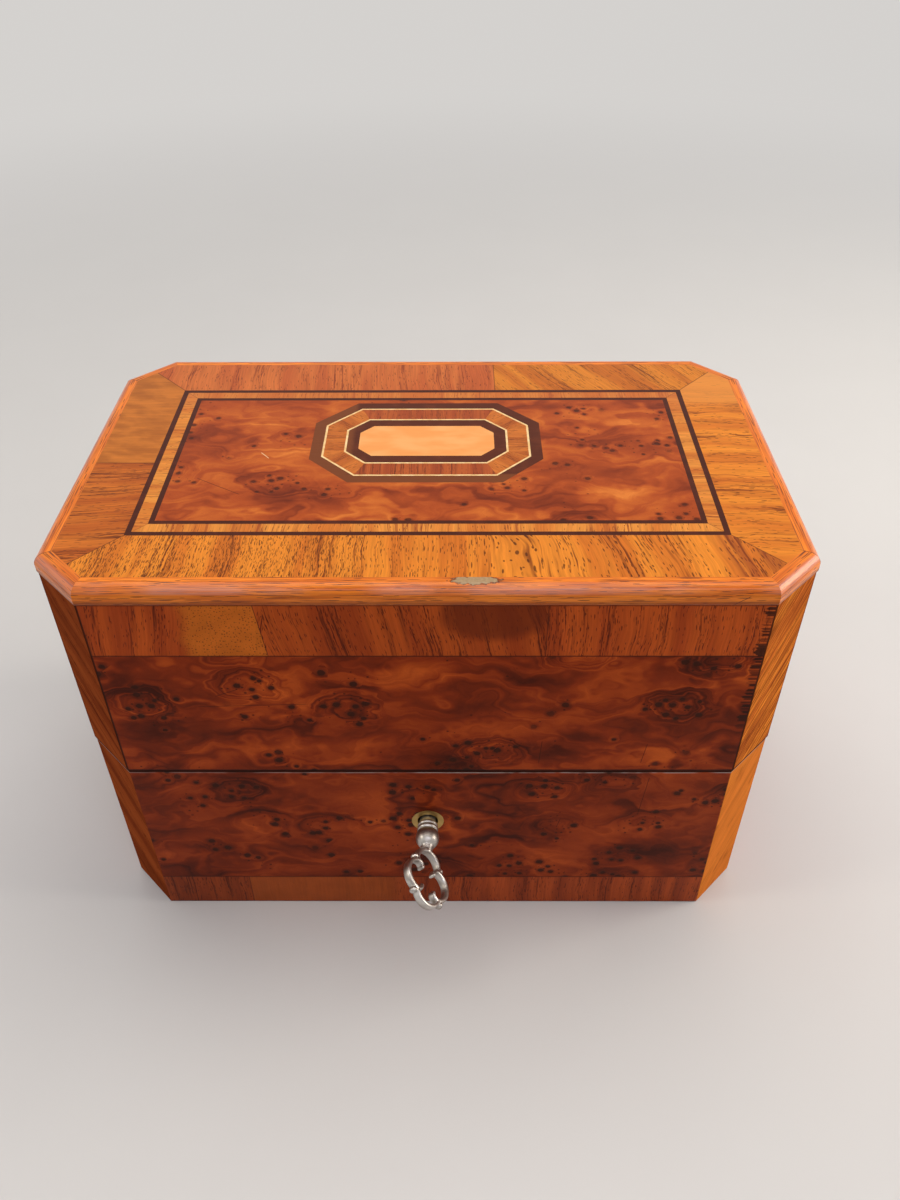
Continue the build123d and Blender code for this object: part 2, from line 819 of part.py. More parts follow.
def top_crossband(side):
    """One side of the broad crossbanding, mitred from the string's corners to the cants' middles."""
    edge = lid_face.inset(moulding_width).corners()
    corner = string_line.corners()
    quarter = side // 2
    cant_before, start = edge[side - 1], edge[side]
    end, cant_after = edge[(side + 1) % 8], edge[(side + 2) % 8]
    mitre_start = ((cant_before[0] + start[0]) / 2, (cant_before[1] + start[1]) / 2)
    mitre_end = ((cant_after[0] + end[0]) / 2, (cant_after[1] + end[1]) / 2)
    points = [mitre_start, start, end, mitre_end, corner[(quarter + 1) % 4], corner[quarter]]
    return prism(points, *surface)


def top_side_crossbands():
    joint = Plane(origin=(0, top_band_joint, 0), z_dir=(0, 1, 0))
    return [top_crossband(right)] + sawn(top_crossband(left), [joint])


def top_burr_panel():
    opening = prism(cartouche_line.corners(), surface[0] - 1, surface[1] + 1)
    return prism(panel_line.corners(), *surface) - opening


def cartouche_ring(start, width):
    """A mitred band of the cartouche, by how far in it starts and how wide it is."""
    return frame_of(cartouche_line.inset(start), cartouche_line.inset(start + width), *surface)


# Lining and cushions

def lining_panels(thickness, bottom, top):
    return frame_of(cavity, cavity.inset(thickness), bottom, top)


def padded(outline, flat_z, crown_z):
    """A pad with drawn-in sides and a crown, lofted from its flat side to its crown."""
    rise = crown_z - flat_z
    steps = ((0.8, 0.0), (0.0, 0.3), (0.5, 0.6), (2.6, 0.85), (7.0, 1.0))
    sections = []
    for inset, share in steps:
        section = make_face(Polyline(*outline.inset(inset).corners(), close=True))
        sections.append(Pos(0, 0, flat_z + share * rise) * section)
    return loft(sections, ruled=True)


def base_floor_pad():
    return padded(cavity.inset(lining + pad_clearance), base_floor, base_floor + floor_pad_height)


def lid_cushion():
    return padded(cavity.inset(thin_lining + pad_clearance), lid_ceiling, lid_ceiling - cushion_height)


# Tray

tray_face = cavity.inset(thin_lining + tray_clearance)
tray_inner = tray_face.inset(tray_wall)
tray_surface = tray_bottom + tray_floor_thickness
divider_z = (tray_surface, tray_top - tray_divider_drop)


def tray_floor():
    return prism(tray_inner.corners(), tray_bottom, tray_surface)


def tray_dividers():
    """A divider across the tray, one along its right part, and a short one in front of that."""
    half = tray_divider / 2
    across_x = (tray_divider_x - half, tray_divider_x + half)
    across = block(across_x, (-tray_inner.half_y, tray_inner.half_y), divider_z)
    long_x = (tray_divider_x + half, tray_inner.half_x)
    along = block(long_x, (-half, half), divider_z)
    short_x = (tray_cross_divider_x - half, tray_cross_divider_x + half)
    return [across, along, block(short_x, (-tray_inner.half_y, -half), divider_z)]


def tray_pads():
    """Velvet-covered card in each compartment, cut to the tray's canted corners."""
    half = tray_divider / 2 + pad_clearance
    z = (tray_surface, tray_surface + tray_pad_thickness)
    plan = prism(tray_inner.inset(pad_clearance).corners(), *z)
    far_x, far_y = tray_inner.half_x, tray_inner.half_y
    rooms = [((-far_x, tray_divider_x - half), (-far_y, far_y))]
    rooms.append(((tray_divider_x + half, far_x), (half, far_y)))
    rooms.append(((tray_divider_x + half, tray_cross_divider_x - half), (-far_y, -half)))
    rooms.append(((tray_cross_divider_x + half, far_x), (-far_y, -half)))
    return [plan & block(x, y, z) for x, y in rooms]


def ring_rolls():
    """Padded rolls side by side, between which rings stand."""
    room = 2 * (tray_inner.half_y - pad_clearance)
    pitch = room / ring_roll_count
    radius = pitch / 2 - 0.12
    rolls = []
    for n in range(ring_roll_count):
        y = -room / 2 + (n + 0.5) * pitch
        edge = abs(y) + radius
        cut_back = max(0.0, edge - (tray_inner.half_y - tray_inner.cant))
        start = -tray_inner.half_x + max(cut_back, ring_roll_gap) + pad_clearance
        end = tray_divider_x - tray_divider / 2 - pad_clearance
        z = tray_surface + tray_pad_thickness + pad_clearance / 3 + 0.92 * radius
        rolls.append(ring_roll(start, end, y, z, radius))
    return rolls


def ring_roll(start, end, y, z, radius):
    """One roll with drawn-in ends, flat where it lies on its pad."""
    tuck = 0.35 * radius
    points = [(start, 0), (start, 0.7 * radius), (start + tuck, radius)]
    points += [(end - tuck, radius), (end, 0.7 * radius), (end, 0)]
    section = make_face(Polyline(*points, close=True))
    roll = revolve(section, axis=Axis.X)
    flat = block((start - 1, end + 1), (-radius, radius), (-2 * radius, -0.92 * radius))
    return Pos(0, y, z) * (roll - flat)


def tray_ribbon(sign):
    """A loop of ribbon inside one end of the tray, beside the long divider, to lift the tray by."""
    outer = tray_inner.half_x - pad_clearance - ribbon_thickness / 2
    inner = outer - ribbon_fold
    low = tray_surface + tray_pad_thickness + pad_clearance + ribbon_thickness / 2
    bend = tray_top + ribbon_rise - ribbon_fold / 2 - ribbon_thickness / 2
    loop_top = ThreePointArc((inner, bend), ((inner + outer) / 2, bend + ribbon_fold / 2), (outer, bend))
    line = Wire([Line((inner, tray_top - 2), (inner, bend)), loop_top, Line((outer, bend), (outer, low))])
    section = make_face(line.offset_2d(ribbon_thickness / 2))
    back_y = tray_divider / 2 + pad_clearance + ribbon_width
    plane = Plane(origin=(0, back_y, 0), x_dir=(1, 0, 0), z_dir=(0, -1, 0))
    loop = extrude(plane * section, amount=ribbon_width)
    return loop if sign > 0 else mirror(loop, about=Plane.YZ)


def group(pieces):
    """Separate solids that share one node."""
    return Compound([solid for piece in pieces for solid in piece.solids()])


def straight_run(make, *args):
    """The two end sides of the box, made alike."""
    return group([make(side, *args) for side in (right, left)])


rim = base_height - arris_wear
lid_rim = lid_bottom + arris_wear
base_walls = (base_floor, base_height)
lid_walls = (lid_bottom, lid_ceiling)
rose_start = dark_border + pale_line
inner_line_start = rose_start + rose_band
inner_border_start = inner_line_start + pale_line
plate_start = inner_border_start + inner_border

nodes = {
    "base_front_board": base_front_board(),
    "base_back_board": base_back_board(),
    "base_side_boards": group([side_board(base_carcass, side, *base_walls) for side in (right, left)]),
    "base_corner_posts": group(base_posts()),
    "base_bottom_board": prism(base_carcass.corners(), underlay, base_floor),
    "base_underlay": prism(base_carcass.inset(underlay_margin).corners(), 0, underlay),
    "base_front_burr": base_front_burr(),
    "base_back_burr": base_veneer(back, base_band, rim),
    "base_side_burrs": straight_run(base_veneer, base_band, rim),
    "base_front_band": group(base_front_band()),
    "base_other_bands": group(
        [base_veneer(side, veneer_lift, base_band) for side in (right, back, left)]
    ),
    "base_corner_veneers": group([base_veneer(side, veneer_lift, rim) for side in cant_sides]),
    "escutcheon": escutcheon(),
    "lock_plate": lock_plate(),
    "lock_case": lock_case(),
    "lock_drill_pin": drill_pin(),
    "lock_spring": lock_spring(),
    "lock_bolt": bolt(),
    "base_hinge_leaves": group([hinge_leaf(x, False) for x in (-hinge_x, hinge_x)]),
    "hinge_pins": group([hinge_pin(x) for x in (-hinge_x, hinge_x)]),
    "base_screws": group(lock_screws() + upright_screws(hinge_screw_spots(), base_height, False)),
    "base_lining": group(lining_panels(lining, base_floor, lining_top)),
    "base_upper_lining": group(lining_panels(thin_lining, lining_top, base_height - lining_setback)),
    "base_floor_pad": base_floor_pad(),
    "key": key(),
    "tray_frame": group(frame_of(tray_face, tray_inner, tray_bottom, tray_top)),
    "tray_floor": tray_floor(),
    "tray_dividers": group(tray_dividers()),
    "tray_pads": group(tray_pads()),
    "tray_ring_rolls": group(ring_rolls()),
    "tray_ribbons": group([tray_ribbon(1), tray_ribbon(-1)]),
    "lid_front_board": lid_front_board(),
    "lid_back_board": lid_back_board(),
    "lid_side_boards": group([side_board(lid_carcass, side, *lid_walls) for side in (right, left)]),
    "lid_corner_posts": group(lid_posts()),
    "lid_top_board": lid_top_board(),
    "lid_front_burr": lid_veneer(front, lid_rim, lid_band_bottom),
    "lid_back_burr": lid_veneer(back, lid_rim, lid_band_bottom),
    "lid_side_burrs": straight_run(lid_veneer, lid_rim, lid_band_bottom),
    "lid_front_band": group(lid_front_band()),
    "lid_other_bands": group(
        [lid_veneer(side, lid_band_bottom, moulding_bottom) for side in (right, back, left)]
    ),
    "lid_corner_veneers": group([lid_veneer(side, lid_rim, moulding_bottom) for side in cant_sides]),
    "lid_moulding_runs": group([moulding(side) for side in straight_sides]),
    "lid_moulding_cants": group([moulding(side) for side in cant_sides]),
    "top_front_crossband": top_crossband(front),
    "top_back_crossband": top_crossband(back),
    "top_side_crossbands": group(top_side_crossbands()),
    "top_strings": group(
        frame_of(string_line, light_line, *surface) + frame_of(inner_line, panel_line, *surface)
    ),
    "top_light_band": group(frame_of(light_line, inner_line, *surface)),
    "top_burr_panel": top_burr_panel(),
    "cartouche_borders": group(
        cartouche_ring(0, dark_border) + cartouche_ring(inner_border_start, inner_border)
    ),
    "cartouche_lines": group(
        cartouche_ring(dark_border, pale_line) + cartouche_ring(inner_line_start, pale_line)
    ),
    "cartouche_band": group(cartouche_ring(rose_start, rose_band)),
    "cartouche_plate": prism(cartouche_line.inset(plate_start).corners(), *surface),
    "lid_lining": group(lining_panels(thin_lining, lid_bottom + lining_setback, lid_ceiling)),
    "lid_cushion": lid_cushion(),
    "link_plate": link_plate(),
    "lid_hinge_leaves": group([hinge_leaf(x, True) for x in (-hinge_x, hinge_x)]),
    "lid_screws": group(
        upright_screws(hinge_screw_spots(), lid_bottom, True)
        + upright_screws(link_screw_spots(), lid_bottom, True)
    ),
}

os.makedirs("parts", exist_ok=True)
for name, shape in nodes.items():
    export_step(shape, f"parts/{name}.step")
print(len(nodes), "nodes")
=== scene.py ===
import math

import bmesh
import bpy
from mathutils import Matrix, Vector


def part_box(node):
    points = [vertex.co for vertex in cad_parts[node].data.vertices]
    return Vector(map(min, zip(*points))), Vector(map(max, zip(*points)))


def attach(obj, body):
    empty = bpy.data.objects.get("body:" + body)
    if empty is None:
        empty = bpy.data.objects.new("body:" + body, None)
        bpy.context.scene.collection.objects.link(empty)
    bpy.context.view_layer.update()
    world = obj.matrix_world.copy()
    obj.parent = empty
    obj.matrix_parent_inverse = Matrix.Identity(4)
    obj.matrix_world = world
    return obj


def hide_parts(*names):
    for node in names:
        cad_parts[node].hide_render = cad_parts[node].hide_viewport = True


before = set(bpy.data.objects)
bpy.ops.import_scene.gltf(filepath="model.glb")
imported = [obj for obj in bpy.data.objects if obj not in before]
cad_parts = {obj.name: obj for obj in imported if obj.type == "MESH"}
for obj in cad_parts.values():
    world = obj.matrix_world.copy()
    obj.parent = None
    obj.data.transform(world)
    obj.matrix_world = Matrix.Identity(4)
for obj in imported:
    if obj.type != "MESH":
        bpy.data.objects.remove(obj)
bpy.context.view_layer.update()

# Sizes read from the frame, in millimetres


def span(node):
    """A CAD node's lowest and highest corners in millimetres."""
    low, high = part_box(node)
    return low * 1000, high * 1000


front_half = span("lid_front_burr")[1].x
face_y = span("lid_front_burr")[0].y
lid_half = span("lid_side_burrs")[1].x
top_z = span("top_burr_panel")[1].z
rim_z = span("base_front_burr")[1].z
base_burr_low = span("base_front_burr")[0].z
lid_low_z = span("lid_front_burr")[0].z
lid_burr_high = span("lid_front_burr")[1].z
string_x, string_y = span("top_strings")[1].x, span("top_strings")[1].y
moulding_x, moulding_y = span("top_side_crossbands")[1].x, span("top_back_crossband")[1].y
cartouche_low, cartouche_high = span("cartouche_borders")

corner_cut = lid_half - front_half
CANT_SHRINK = 2 - math.sqrt(2)
top_cut = corner_cut - CANT_SHRINK * (lid_half - moulding_x)


def octagon(half_x):
    """The box's outline moved in until it reaches this far along X, as plan points anticlockwise."""
    inset = lid_half - half_x
    x, y, c = half_x, -face_y - inset, corner_cut - CANT_SHRINK * inset
    points = [(c - x, -y), (x - c, -y), (x, c - y), (x, y - c)]
    return points + [(x - c, y), (c - x, y), (-x, y - c), (-x, c - y)]


# Materials as small graphs of nodes


class Value:
    """A number or colour that varies over a material, with the usual arithmetic."""

    def __init__(self, graph, socket):
        self.graph = graph
        self.socket = socket

    def __add__(self, other):
        return self.graph.maths("ADD", self, other)

    def __sub__(self, other):
        return self.graph.maths("SUBTRACT", self, other)

    def __rsub__(self, other):
        return self.graph.maths("SUBTRACT", other, self)

    def __mul__(self, other):
        return self.graph.maths("MULTIPLY", self, other)

    def __truediv__(self, other):
        return self.graph.maths("DIVIDE", self, other)

    __radd__ = __add__
    __rmul__ = __mul__

    def size(self):
        return self.graph.maths("ABSOLUTE", self)

    def most(self, other):
        return self.graph.maths("MAXIMUM", self, other)

    def least(self, other):
        return self.graph.maths("MINIMUM", self, other)

    def smooth(self, low, high):
        """0 below low, 1 above high and a soft step between, or the other way round if low is greater."""
        if not isinstance(low, Value) and not isinstance(high, Value) and low > high:
            return 1 - self.smooth(high, low)
        node = self.graph.add("ShaderNodeMapRange")
        node.interpolation_type = "SMOOTHSTEP"
        self.graph.feed(node.inputs["Value"], self)
        self.graph.feed(node.inputs["From Min"], low)
        self.graph.feed(node.inputs["From Max"], high)
        return Value(self.graph, node.outputs["Result"])

    def within(self, low, high, soft=0.05):
        """1 between two limits and 0 outside them."""
        return self.smooth(low - soft, low + soft) * self.smooth(high + soft, high - soft)


class Graph:
    """A material whose colour, roughness and relief are worked out by nodes."""

    def __init__(self, name, **shader):
        self.material = bpy.data.materials.new(name)
        self.material.use_nodes = True
        self.tree = self.material.node_tree
        self.tree.nodes.clear()
        self.shader = self.add("ShaderNodeBsdfPrincipled")
        self.output = self.add("ShaderNodeOutputMaterial")
        self.tree.links.new(self.shader.outputs["BSDF"], self.output.inputs["Surface"])
        for socket, value in shader.items():
            self.shader.inputs[socket.replace("_", " ")].default_value = value
        coordinates = self.add("ShaderNodeTexCoord")
        self.x, self.y, self.z = (1000 * part for part in self.split(coordinates.outputs["Object"]))
        self.facing = self.split(coordinates.outputs["Normal"])

    def add(self, kind):
        return self.tree.nodes.new(kind)

    def feed(self, socket, value):
        """Sets a socket to a number or colour, or links it."""
        if isinstance(value, Value):
            self.tree.links.new(value.socket, socket)
        elif isinstance(value, tuple):
            socket.default_value = value if len(value) == len(socket.default_value) else (*value, 1.0)
        else:
            socket.default_value = value

    def maths(self, operation, *values):
        node = self.add("ShaderNodeMath")
        node.operation = operation
        for socket, value in zip(node.inputs, values):
            self.feed(socket, value)
        return Value(self, node.outputs[0])

    def split(self, socket):
        node = self.add("ShaderNodeSeparateXYZ")
        self.tree.links.new(socket, node.inputs[0])
        return [Value(self, out) for out in node.outputs]

    def point(self, *parts):
        node = self.add("ShaderNodeCombineXYZ")
        for socket, part in zip(node.inputs, parts):
            self.feed(socket, part)
        return Value(self, node.outputs[0])

    def noise(self, a, b, seed=0.0, detail=2.0, rough=0.5, bend=0.0):
        """Noise from 0 to 1, over two coordinates in units of its own grain."""
        node = self.add("ShaderNodeTexNoise")
        self.feed(node.inputs["Vector"], self.point(a, b, seed))
        node.inputs["Scale"].default_value = 1.0
        node.inputs["Detail"].default_value = detail
        node.inputs["Roughness"].default_value = rough
        node.inputs["Distortion"].default_value = bend
        return Value(self, node.outputs[0])

    def cells(self, a, b, scatter=1.0):
        """Scattered spots: the distance from the nearest, its own random numbers, and where it is."""
        node = self.add("ShaderNodeTexVoronoi")
        node.voronoi_dimensions = "2D"
        self.feed(node.inputs["Vector"], self.point(a, b))
        node.inputs["Scale"].default_value = 1.0
        node.inputs["Randomness"].default_value = scatter
        own = self.split(node.outputs["Color"])
        at = self.split(node.outputs["Position"])
        return Value(self, node.outputs["Distance"]), own, at

    def mix(self, share, first, second):
        node = self.add("ShaderNodeMix")
        node.data_type = "RGBA"
        self.feed(node.inputs[0], share)
        self.feed(node.inputs[6], first)
        self.feed(node.inputs[7], second)
        return Value(self, node.outputs[2])

    def shade(self, colour, share):
        """A colour made darker or lighter by a factor."""
        node = self.add("ShaderNodeVectorMath")
        node.operation = "SCALE"
        self.feed(node.inputs[0], colour)
        self.feed(node.inputs["Scale"], share)
        return Value(self, node.outputs[0])

    def ramp(self, value, *stops):
        """A colour from evenly spaced stops."""
        node = self.add("ShaderNodeValToRGB")
        elements = node.color_ramp.elements
        for n in range(len(stops) - 2):
            elements.new((n + 1) / (len(stops) - 1))
        for n, stop in enumerate(stops):
            elements[n].position = n / (len(stops) - 1)
            elements[n].color = (*stop, 1.0)
        self.feed(node.inputs[0], value)
        return Value(self, node.outputs["Color"])

    def finish(self, colour, roughness=None, relief=None, depth=0.1):
        """Ends the graph; the relief's depth is in millimetres."""
        self.feed(self.shader.inputs["Base Color"], colour)
        if roughness is not None:
            self.feed(self.shader.inputs["Roughness"], roughness)
        if relief is not None:
            bump = self.add("ShaderNodeBump")
            bump.inputs["Distance"].default_value = depth / 1000
            self.feed(bump.inputs["Height"], relief)
            self.tree.links.new(bump.outputs[0], self.shader.inputs["Normal"])
        return self.material

    def on_wall(self):
        """Across and up a wall in millimetres, whichever way it faces."""
        return self.y * self.facing[0] - self.x * self.facing[1], self.z


POLISH = dict(
    Coat_Weight=0.05, Coat_Roughness=0.12, Specular_IOR_Level=0.16, Specular_Tint=(1.0, 0.45, 0.18, 1.0)
)
WALL_POLISH = dict(
    Coat_Weight=0.02, Coat_Roughness=0.15, Specular_IOR_Level=0.12, Specular_Tint=(1.0, 0.4, 0.14, 1.0)
)
CANT_POLISH = dict(Specular_IOR_Level=0.0)
MOULDING_POLISH = dict(
    Coat_Weight=0.3, Coat_Roughness=0.1, Specular_IOR_Level=0.18, Specular_Tint=(1.0, 0.6, 0.4, 1.0)
)


def dress(material, *nodes):
    """Gives a material to CAD nodes."""
    for name in nodes:
        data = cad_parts[name].data
        data.materials.clear()
        data.materials.append(material)


def on_top(g):
    """Along and across the top in millimetres."""
    return g.x, g.y


# Burr veneer

BURR_EYE = (0.032, 0.006, 0.003)
BURR_RIM = (0.085, 0.014, 0.005)
# Near-black for dirt along joints, and for the painted shadow of the gap where the lid parts from the base
DIRT_AND_GAP_SHADOW = (0.014, 0.005, 0.004)


def near_line(g, a, b, start, end, width):
    """1 on a straight line between two points of a plane, and 0 off it."""
    length = math.dist(start, end)
    along_a, along_b = (end[0] - start[0]) / length, (end[1] - start[1]) / length
    off = (a - start[0]) * along_b - (b - start[1]) * along_a
    along = (a - start[0]) * along_a + (b - start[1]) * along_b
    wander = g.noise(along / 3.0, 0.5, 1.7, 2.0) - 0.5
    return (off + wander * 1.2 * width).size().smooth(width, 0.4 * width) * along.within(0, length, 0.3)


def burr_eyes(g, u, v, crowd_at, spacing, sizes, seed):
    """Dark eyes in clusters: 1 inside an eye, 1 inside its rim, the distance from it, 1 in a cluster."""
    apart_u, apart_v = spacing
    _, own, at = g.cells((u + 9 * seed) / apart_u, v / apart_v, 0.85)
    at_u, at_v = at[0] * apart_u - 9 * seed, at[1] * apart_v
    ragged = (g.noise(u / 0.9, v / 0.9, seed, 1.0) - 0.5) * 0.5
    radius = own[1] * (sizes[1] - sizes[0]) + sizes[0]
    du, dv = (u - at_u) / (radius * 1.12), (v - at_v) / radius
    reach = g.maths("SQRT", du * du + dv * dv) + ragged
    chosen = (crowd_at(at_u, at_v) + own[0] * 0.16).smooth(0.6, 0.62)
    return reach.smooth(1.1, 0.75) * chosen, reach.smooth(2.0, 0.9) * chosen, reach, chosen


def whorl_cells(g, u, v, seed):
    """Oval whorls of the grain: how strong one is at a point, its distance, own number and middle."""
    near, own, at = g.cells((u + seed) / 29, v / 18, 0.8)
    return near.smooth(0.44, 0.1) * own[0].smooth(0.38, 0.46), near, own[1], at[1] * 18


def burr(name, place, tones, seed, polish, eye_sizes=(0.62, 1.08), darkness=1.0, extra=None):
    """Burr: soft clouds and swirling grain that winds round clusters of dark eyes."""
    g = Graph(name, **polish)
    u, v = place(g)

    def crowd_at(a, b):
        return g.noise(a / 16, b / 12, seed + 5, 1.0) * 0.8 + whorl_cells(g, a, b, seed)[0] * 0.22

    bend = g.noise(u / 21, v / 13, seed + 11, 2.0) - 0.5
    twist = g.noise(u / 8, v / 5.5, seed + 23, 2.0) - 0.5
    drawn_u, drawn_v = u + twist * 9, v + (g.noise(u / 9, v / 6, seed + 24, 2.0) - 0.5) * 6
    whorl, near, own, middle = whorl_cells(g, drawn_u, drawn_v, seed)
    flow = v / 7.5 + bend * 5.2 + twist * 1.4
    rings = near * 2.6 + own * 4 + twist * 1.3
    flow = flow + (rings - flow) * whorl * 0.6
    eye, rim, reach, chosen = burr_eyes(g, u, v, crowd_at, (4.4, 3.8), eye_sizes, seed)
    flow = flow + reach.smooth(3.6, 0.6) * chosen * 0.6
    bands = g.noise(flow * 1.15, u / 46, seed, 2.0, 0.5)
    threads = g.noise(flow * 6.5, u / 12 + v / 30, seed + 3, 2.0, 0.6)
    clouds = g.noise(u / 30 + twist, v / 16, seed + 31, 2.0)
    tone = 0.5 + (bands - 0.5) * 1.35 + (clouds - 0.5) * 1.5 + (threads - 0.5) * 0.24 * (1.0 - whorl * 0.8)
    crescent = near.within(0.2, 0.36, 0.1) * whorl.smooth(0.02, 0.2)
    crescent = crescent * ((drawn_v - middle) / 5).smooth(-0.6, 0.8)
    tone = tone - crescent * 0.2 - rim * 0.08
    colour = g.ramp(tone, *tones)
    colour = g.shade(colour, g.noise(u / 0.7, v / 0.35, seed + 41, 2.0) * 0.24 + 0.88)
    colour = g.mix(rim * 0.5 * darkness, colour, BURR_RIM)
    colour = g.mix(eye * 0.93 * darkness, colour, BURR_EYE)
    speck, _, _, _ = burr_eyes(g, u, v, crowd_at, (2.3, 2.1), (0.1, 0.4), seed + 2)
    colour = g.mix(speck * 0.75 * darkness, colour, BURR_EYE)
    if extra:
        colour = extra(g, u, v, colour)
    relief = g.noise(u / 2.4, v / 2.4, seed + 9, 2.0) * 0.25 - eye * 0.3 + threads * 0.1
    return g.finish(colour, 0.36 + (bands - 0.5) * 0.15, relief, 0.05)


def cracked(g, u, v, colour, cracks):
    """A colour with dark hairlines drawn on it."""
    for start, end in cracks:
        colour = g.mix(near_line(g, u, v, start, end, 0.13) * 0.85, colour, BURR_EYE)
    return colour


def worn_corner(g, u, v, colour):
    """Short dark ticks up the lid's right front arris, and a dark line up its left one."""
    tick = g.noise(v / 0.7, 0.5, 8.0, 2.0).smooth(0.4, 0.52)
    tick = tick * g.noise(v / 9, 0.5, 12.0, 1.0).smooth(0.2, 0.38)
    reach = g.noise(v / 0.7, 0.5, 21.0, 1.0) * 3.4 + 0.6
    right = (front_half - u - reach).smooth(0.3, -0.3) * tick * v.smooth(lid_low_z + 12, lid_low_z + 24)
    left = (u + front_half).smooth(0.5, 0.2)
    mark = right.most(left).most((front_half - u).smooth(0.4, 0.15))
    return g.mix(mark * 0.9, colour, (0.014, 0.004, 0.003))


def lid_wear(g, u, v, colour):
    """Hairlines, a painted shadow of the parting gap along the lid's lower edge, and a dark line of dirt
    under its band.
    """
    colour = cracked(g, u, v, colour, LID_CRACKS)
    ragged = (g.noise(u / 4, 0.5, 6.0, 2.0) - 0.5) * 0.5
    # Painted shadow of the parting gap along the lid's lower edge, and dirt along its top under the band
    edge = (v - lid_low_z + ragged).smooth(0.75, 0.35).most((lid_burr_high - v).smooth(0.35, 0.15))
    colour = g.mix(edge * 0.85, colour, DIRT_AND_GAP_SHADOW)
    return worn_corner(g, u, v, colour)


def base_wear(g, u, v, colour):
    """Hairlines, a painted shadow of the parting gap along the rim, dirt along the lower edge, and a thin
    pale line under the rim.
    """
    colour = cracked(g, u, v, colour, BASE_CRACKS)
    wander = (g.noise(u / 9, 0.5, 6.0, 2.0) - 0.5) * 0.25
    down = rim_z - v + wander
    # A thin pale line under the rim, stronger towards the right
    pale_mark = down.within(0.42, 0.68, 0.1) * g.noise(u / 7, 0.4, 8.0, 2.0).smooth(0.3, 0.55)
    # Painted shadow of the parting gap along the rim, and dirt along the lower edge
    edge = down.smooth(0.5, 0.3).most((v - base_burr_low).smooth(0.35, 0.15))
    colour = g.mix(edge * 0.85, colour, DIRT_AND_GAP_SHADOW)
    return g.mix(pale_mark * (u.smooth(-70, 10) * 0.6 + 0.35), colour, (0.45, 0.4, 0.36))


def top_wear(g, u, v, colour):
    """A hairline and a short pale scratch."""
    colour = cracked(g, u, v, colour, TOP_CRACKS)
    scratch = near_line(g, u, v, (-49, 1.5), (-46.5, -1.5), 0.2)
    return g.mix(scratch * 0.8, colour, (0.8, 0.55, 0.3))


LID_BURR = (
    (0.05, 0.005, 0.002), (0.12, 0.012, 0.0025), (0.24, 0.026, 0.004),
    (0.4, 0.055, 0.007), (0.58, 0.1, 0.012),
)
BASE_BURR = (
    (0.05, 0.005, 0.002), (0.12, 0.013, 0.003), (0.225, 0.025, 0.004),
    (0.35, 0.047, 0.007), (0.5, 0.08, 0.011),
)
TOP_BURR = (
    (0.14, 0.018, 0.005), (0.25, 0.036, 0.008), (0.4, 0.068, 0.013),
    (0.54, 0.12, 0.02), (0.7, 0.2, 0.035),
)
LID_CRACKS = (
    ((31, 70), (31.5, 79)), ((60, 70), (61, 78)), ((-62, 93), (-33, 94)), ((-57, 97), (-51, 99.5))
)
BASE_CRACKS = (((62, 46), (63.5, 63)), ((38, 40), (39, 44)))
TOP_CRACKS = (((-65, -12), (-52, -20)),)

dress(burr("lid_burr", Graph.on_wall, LID_BURR, 3.0, WALL_POLISH, extra=lid_wear), "lid_front_burr")
dress(burr("base_burr", Graph.on_wall, BASE_BURR, 44.0, WALL_POLISH, extra=base_wear), "base_front_burr")
dress(burr("lid_side_burr", Graph.on_wall, LID_BURR, 17.0, WALL_POLISH), "lid_side_burrs", "lid_back_burr")
dress(
    burr("base_side_burr", Graph.on_wall, BASE_BURR, 29.0, WALL_POLISH), "base_side_burrs", "base_back_burr"
)
fainter_eyes = dict(eye_sizes=(0.45, 0.85), darkness=0.75)
dress(burr("top_burr", on_top, TOP_BURR, 57.0, POLISH, extra=top_wear, **fainter_eyes), "top_burr_panel")

# Crossbanding


def dashes(g, across, along, spacing, sizes, chance, seed):
    """Short pores along the grain: 1 inside a dash."""
    apart_a, apart_l = spacing
    _, own, at = g.cells((across + seed) / apart_a, along / apart_l, 0.9)
    off_a = ((at[0] * apart_a - seed) - across).size() / (own[1] * sizes[0] * 0.6 + sizes[0] * 0.4)
    off_l = (at[1] * apart_l - along).size() / (own[0] * sizes[1] * 0.7 + sizes[1] * 0.3)
    return (off_a * off_a + off_l * off_l).smooth(1.3, 0.5) * (own[2] - chance).smooth(0.0, -0.04)


def banding(g, across, along, seed, tones, lines=1.0, pores=1.0, spread=1.0):
    """Crossbanding's colour: broad tones, groups of dark lines, and short pores along the grain."""
    light, middle, dark, pore = tones
    across = across + (g.noise(across / 24, along / 14, seed + 8, 1.0) - 0.5) * 2.4
    broad = g.noise(across / 6.5, along / 90, seed, 2.0)
    groups = g.noise(across / 4.5, along / 70, seed + 2, 2.0, 0.6).smooth(0.44, 0.62)
    fibre = g.noise(across / 0.5, along / 16, seed + 4, 3.0, 0.65)
    streak = g.noise(across / 0.62, along / 22, seed + 5, 2.0, 0.6).smooth(0.5, 0.64) * groups
    haze = g.noise(across / 1.9, along / 50, seed + 6, 2.0).smooth(0.5, 0.72) * groups
    chance = groups * 0.5 + 0.28
    pore_marks = dashes(g, across, along, (0.62, 2.3), (0.13, 1.0), chance * pores, seed)
    larger = dashes(g, across, along, (0.9, 3.4), (0.17, 1.5), chance * 0.6 * pores, seed + 3)
    pore_marks = pore_marks.most(larger)
    colour = g.mix(broad.smooth(0.36, 0.62), middle, light)
    colour = g.shade(colour, (fibre - 0.5) * (0.9 * spread) + 1.0)
    colour = g.mix(haze * 0.55 * lines, colour, dark)
    colour = g.mix((streak * 0.95 * lines).least(1.0), colour, dark)
    colour = g.mix(pore_marks * 0.82, colour, pore)
    return colour, pore_marks


def step(value, at):
    """0 below a place and 1 above it."""
    return value.smooth(at - 0.03, at + 0.03)


def joint(value, at, width=0.14):
    """1 on a glue line at a place."""
    return (value - at).size().smooth(width, 0.4 * width)


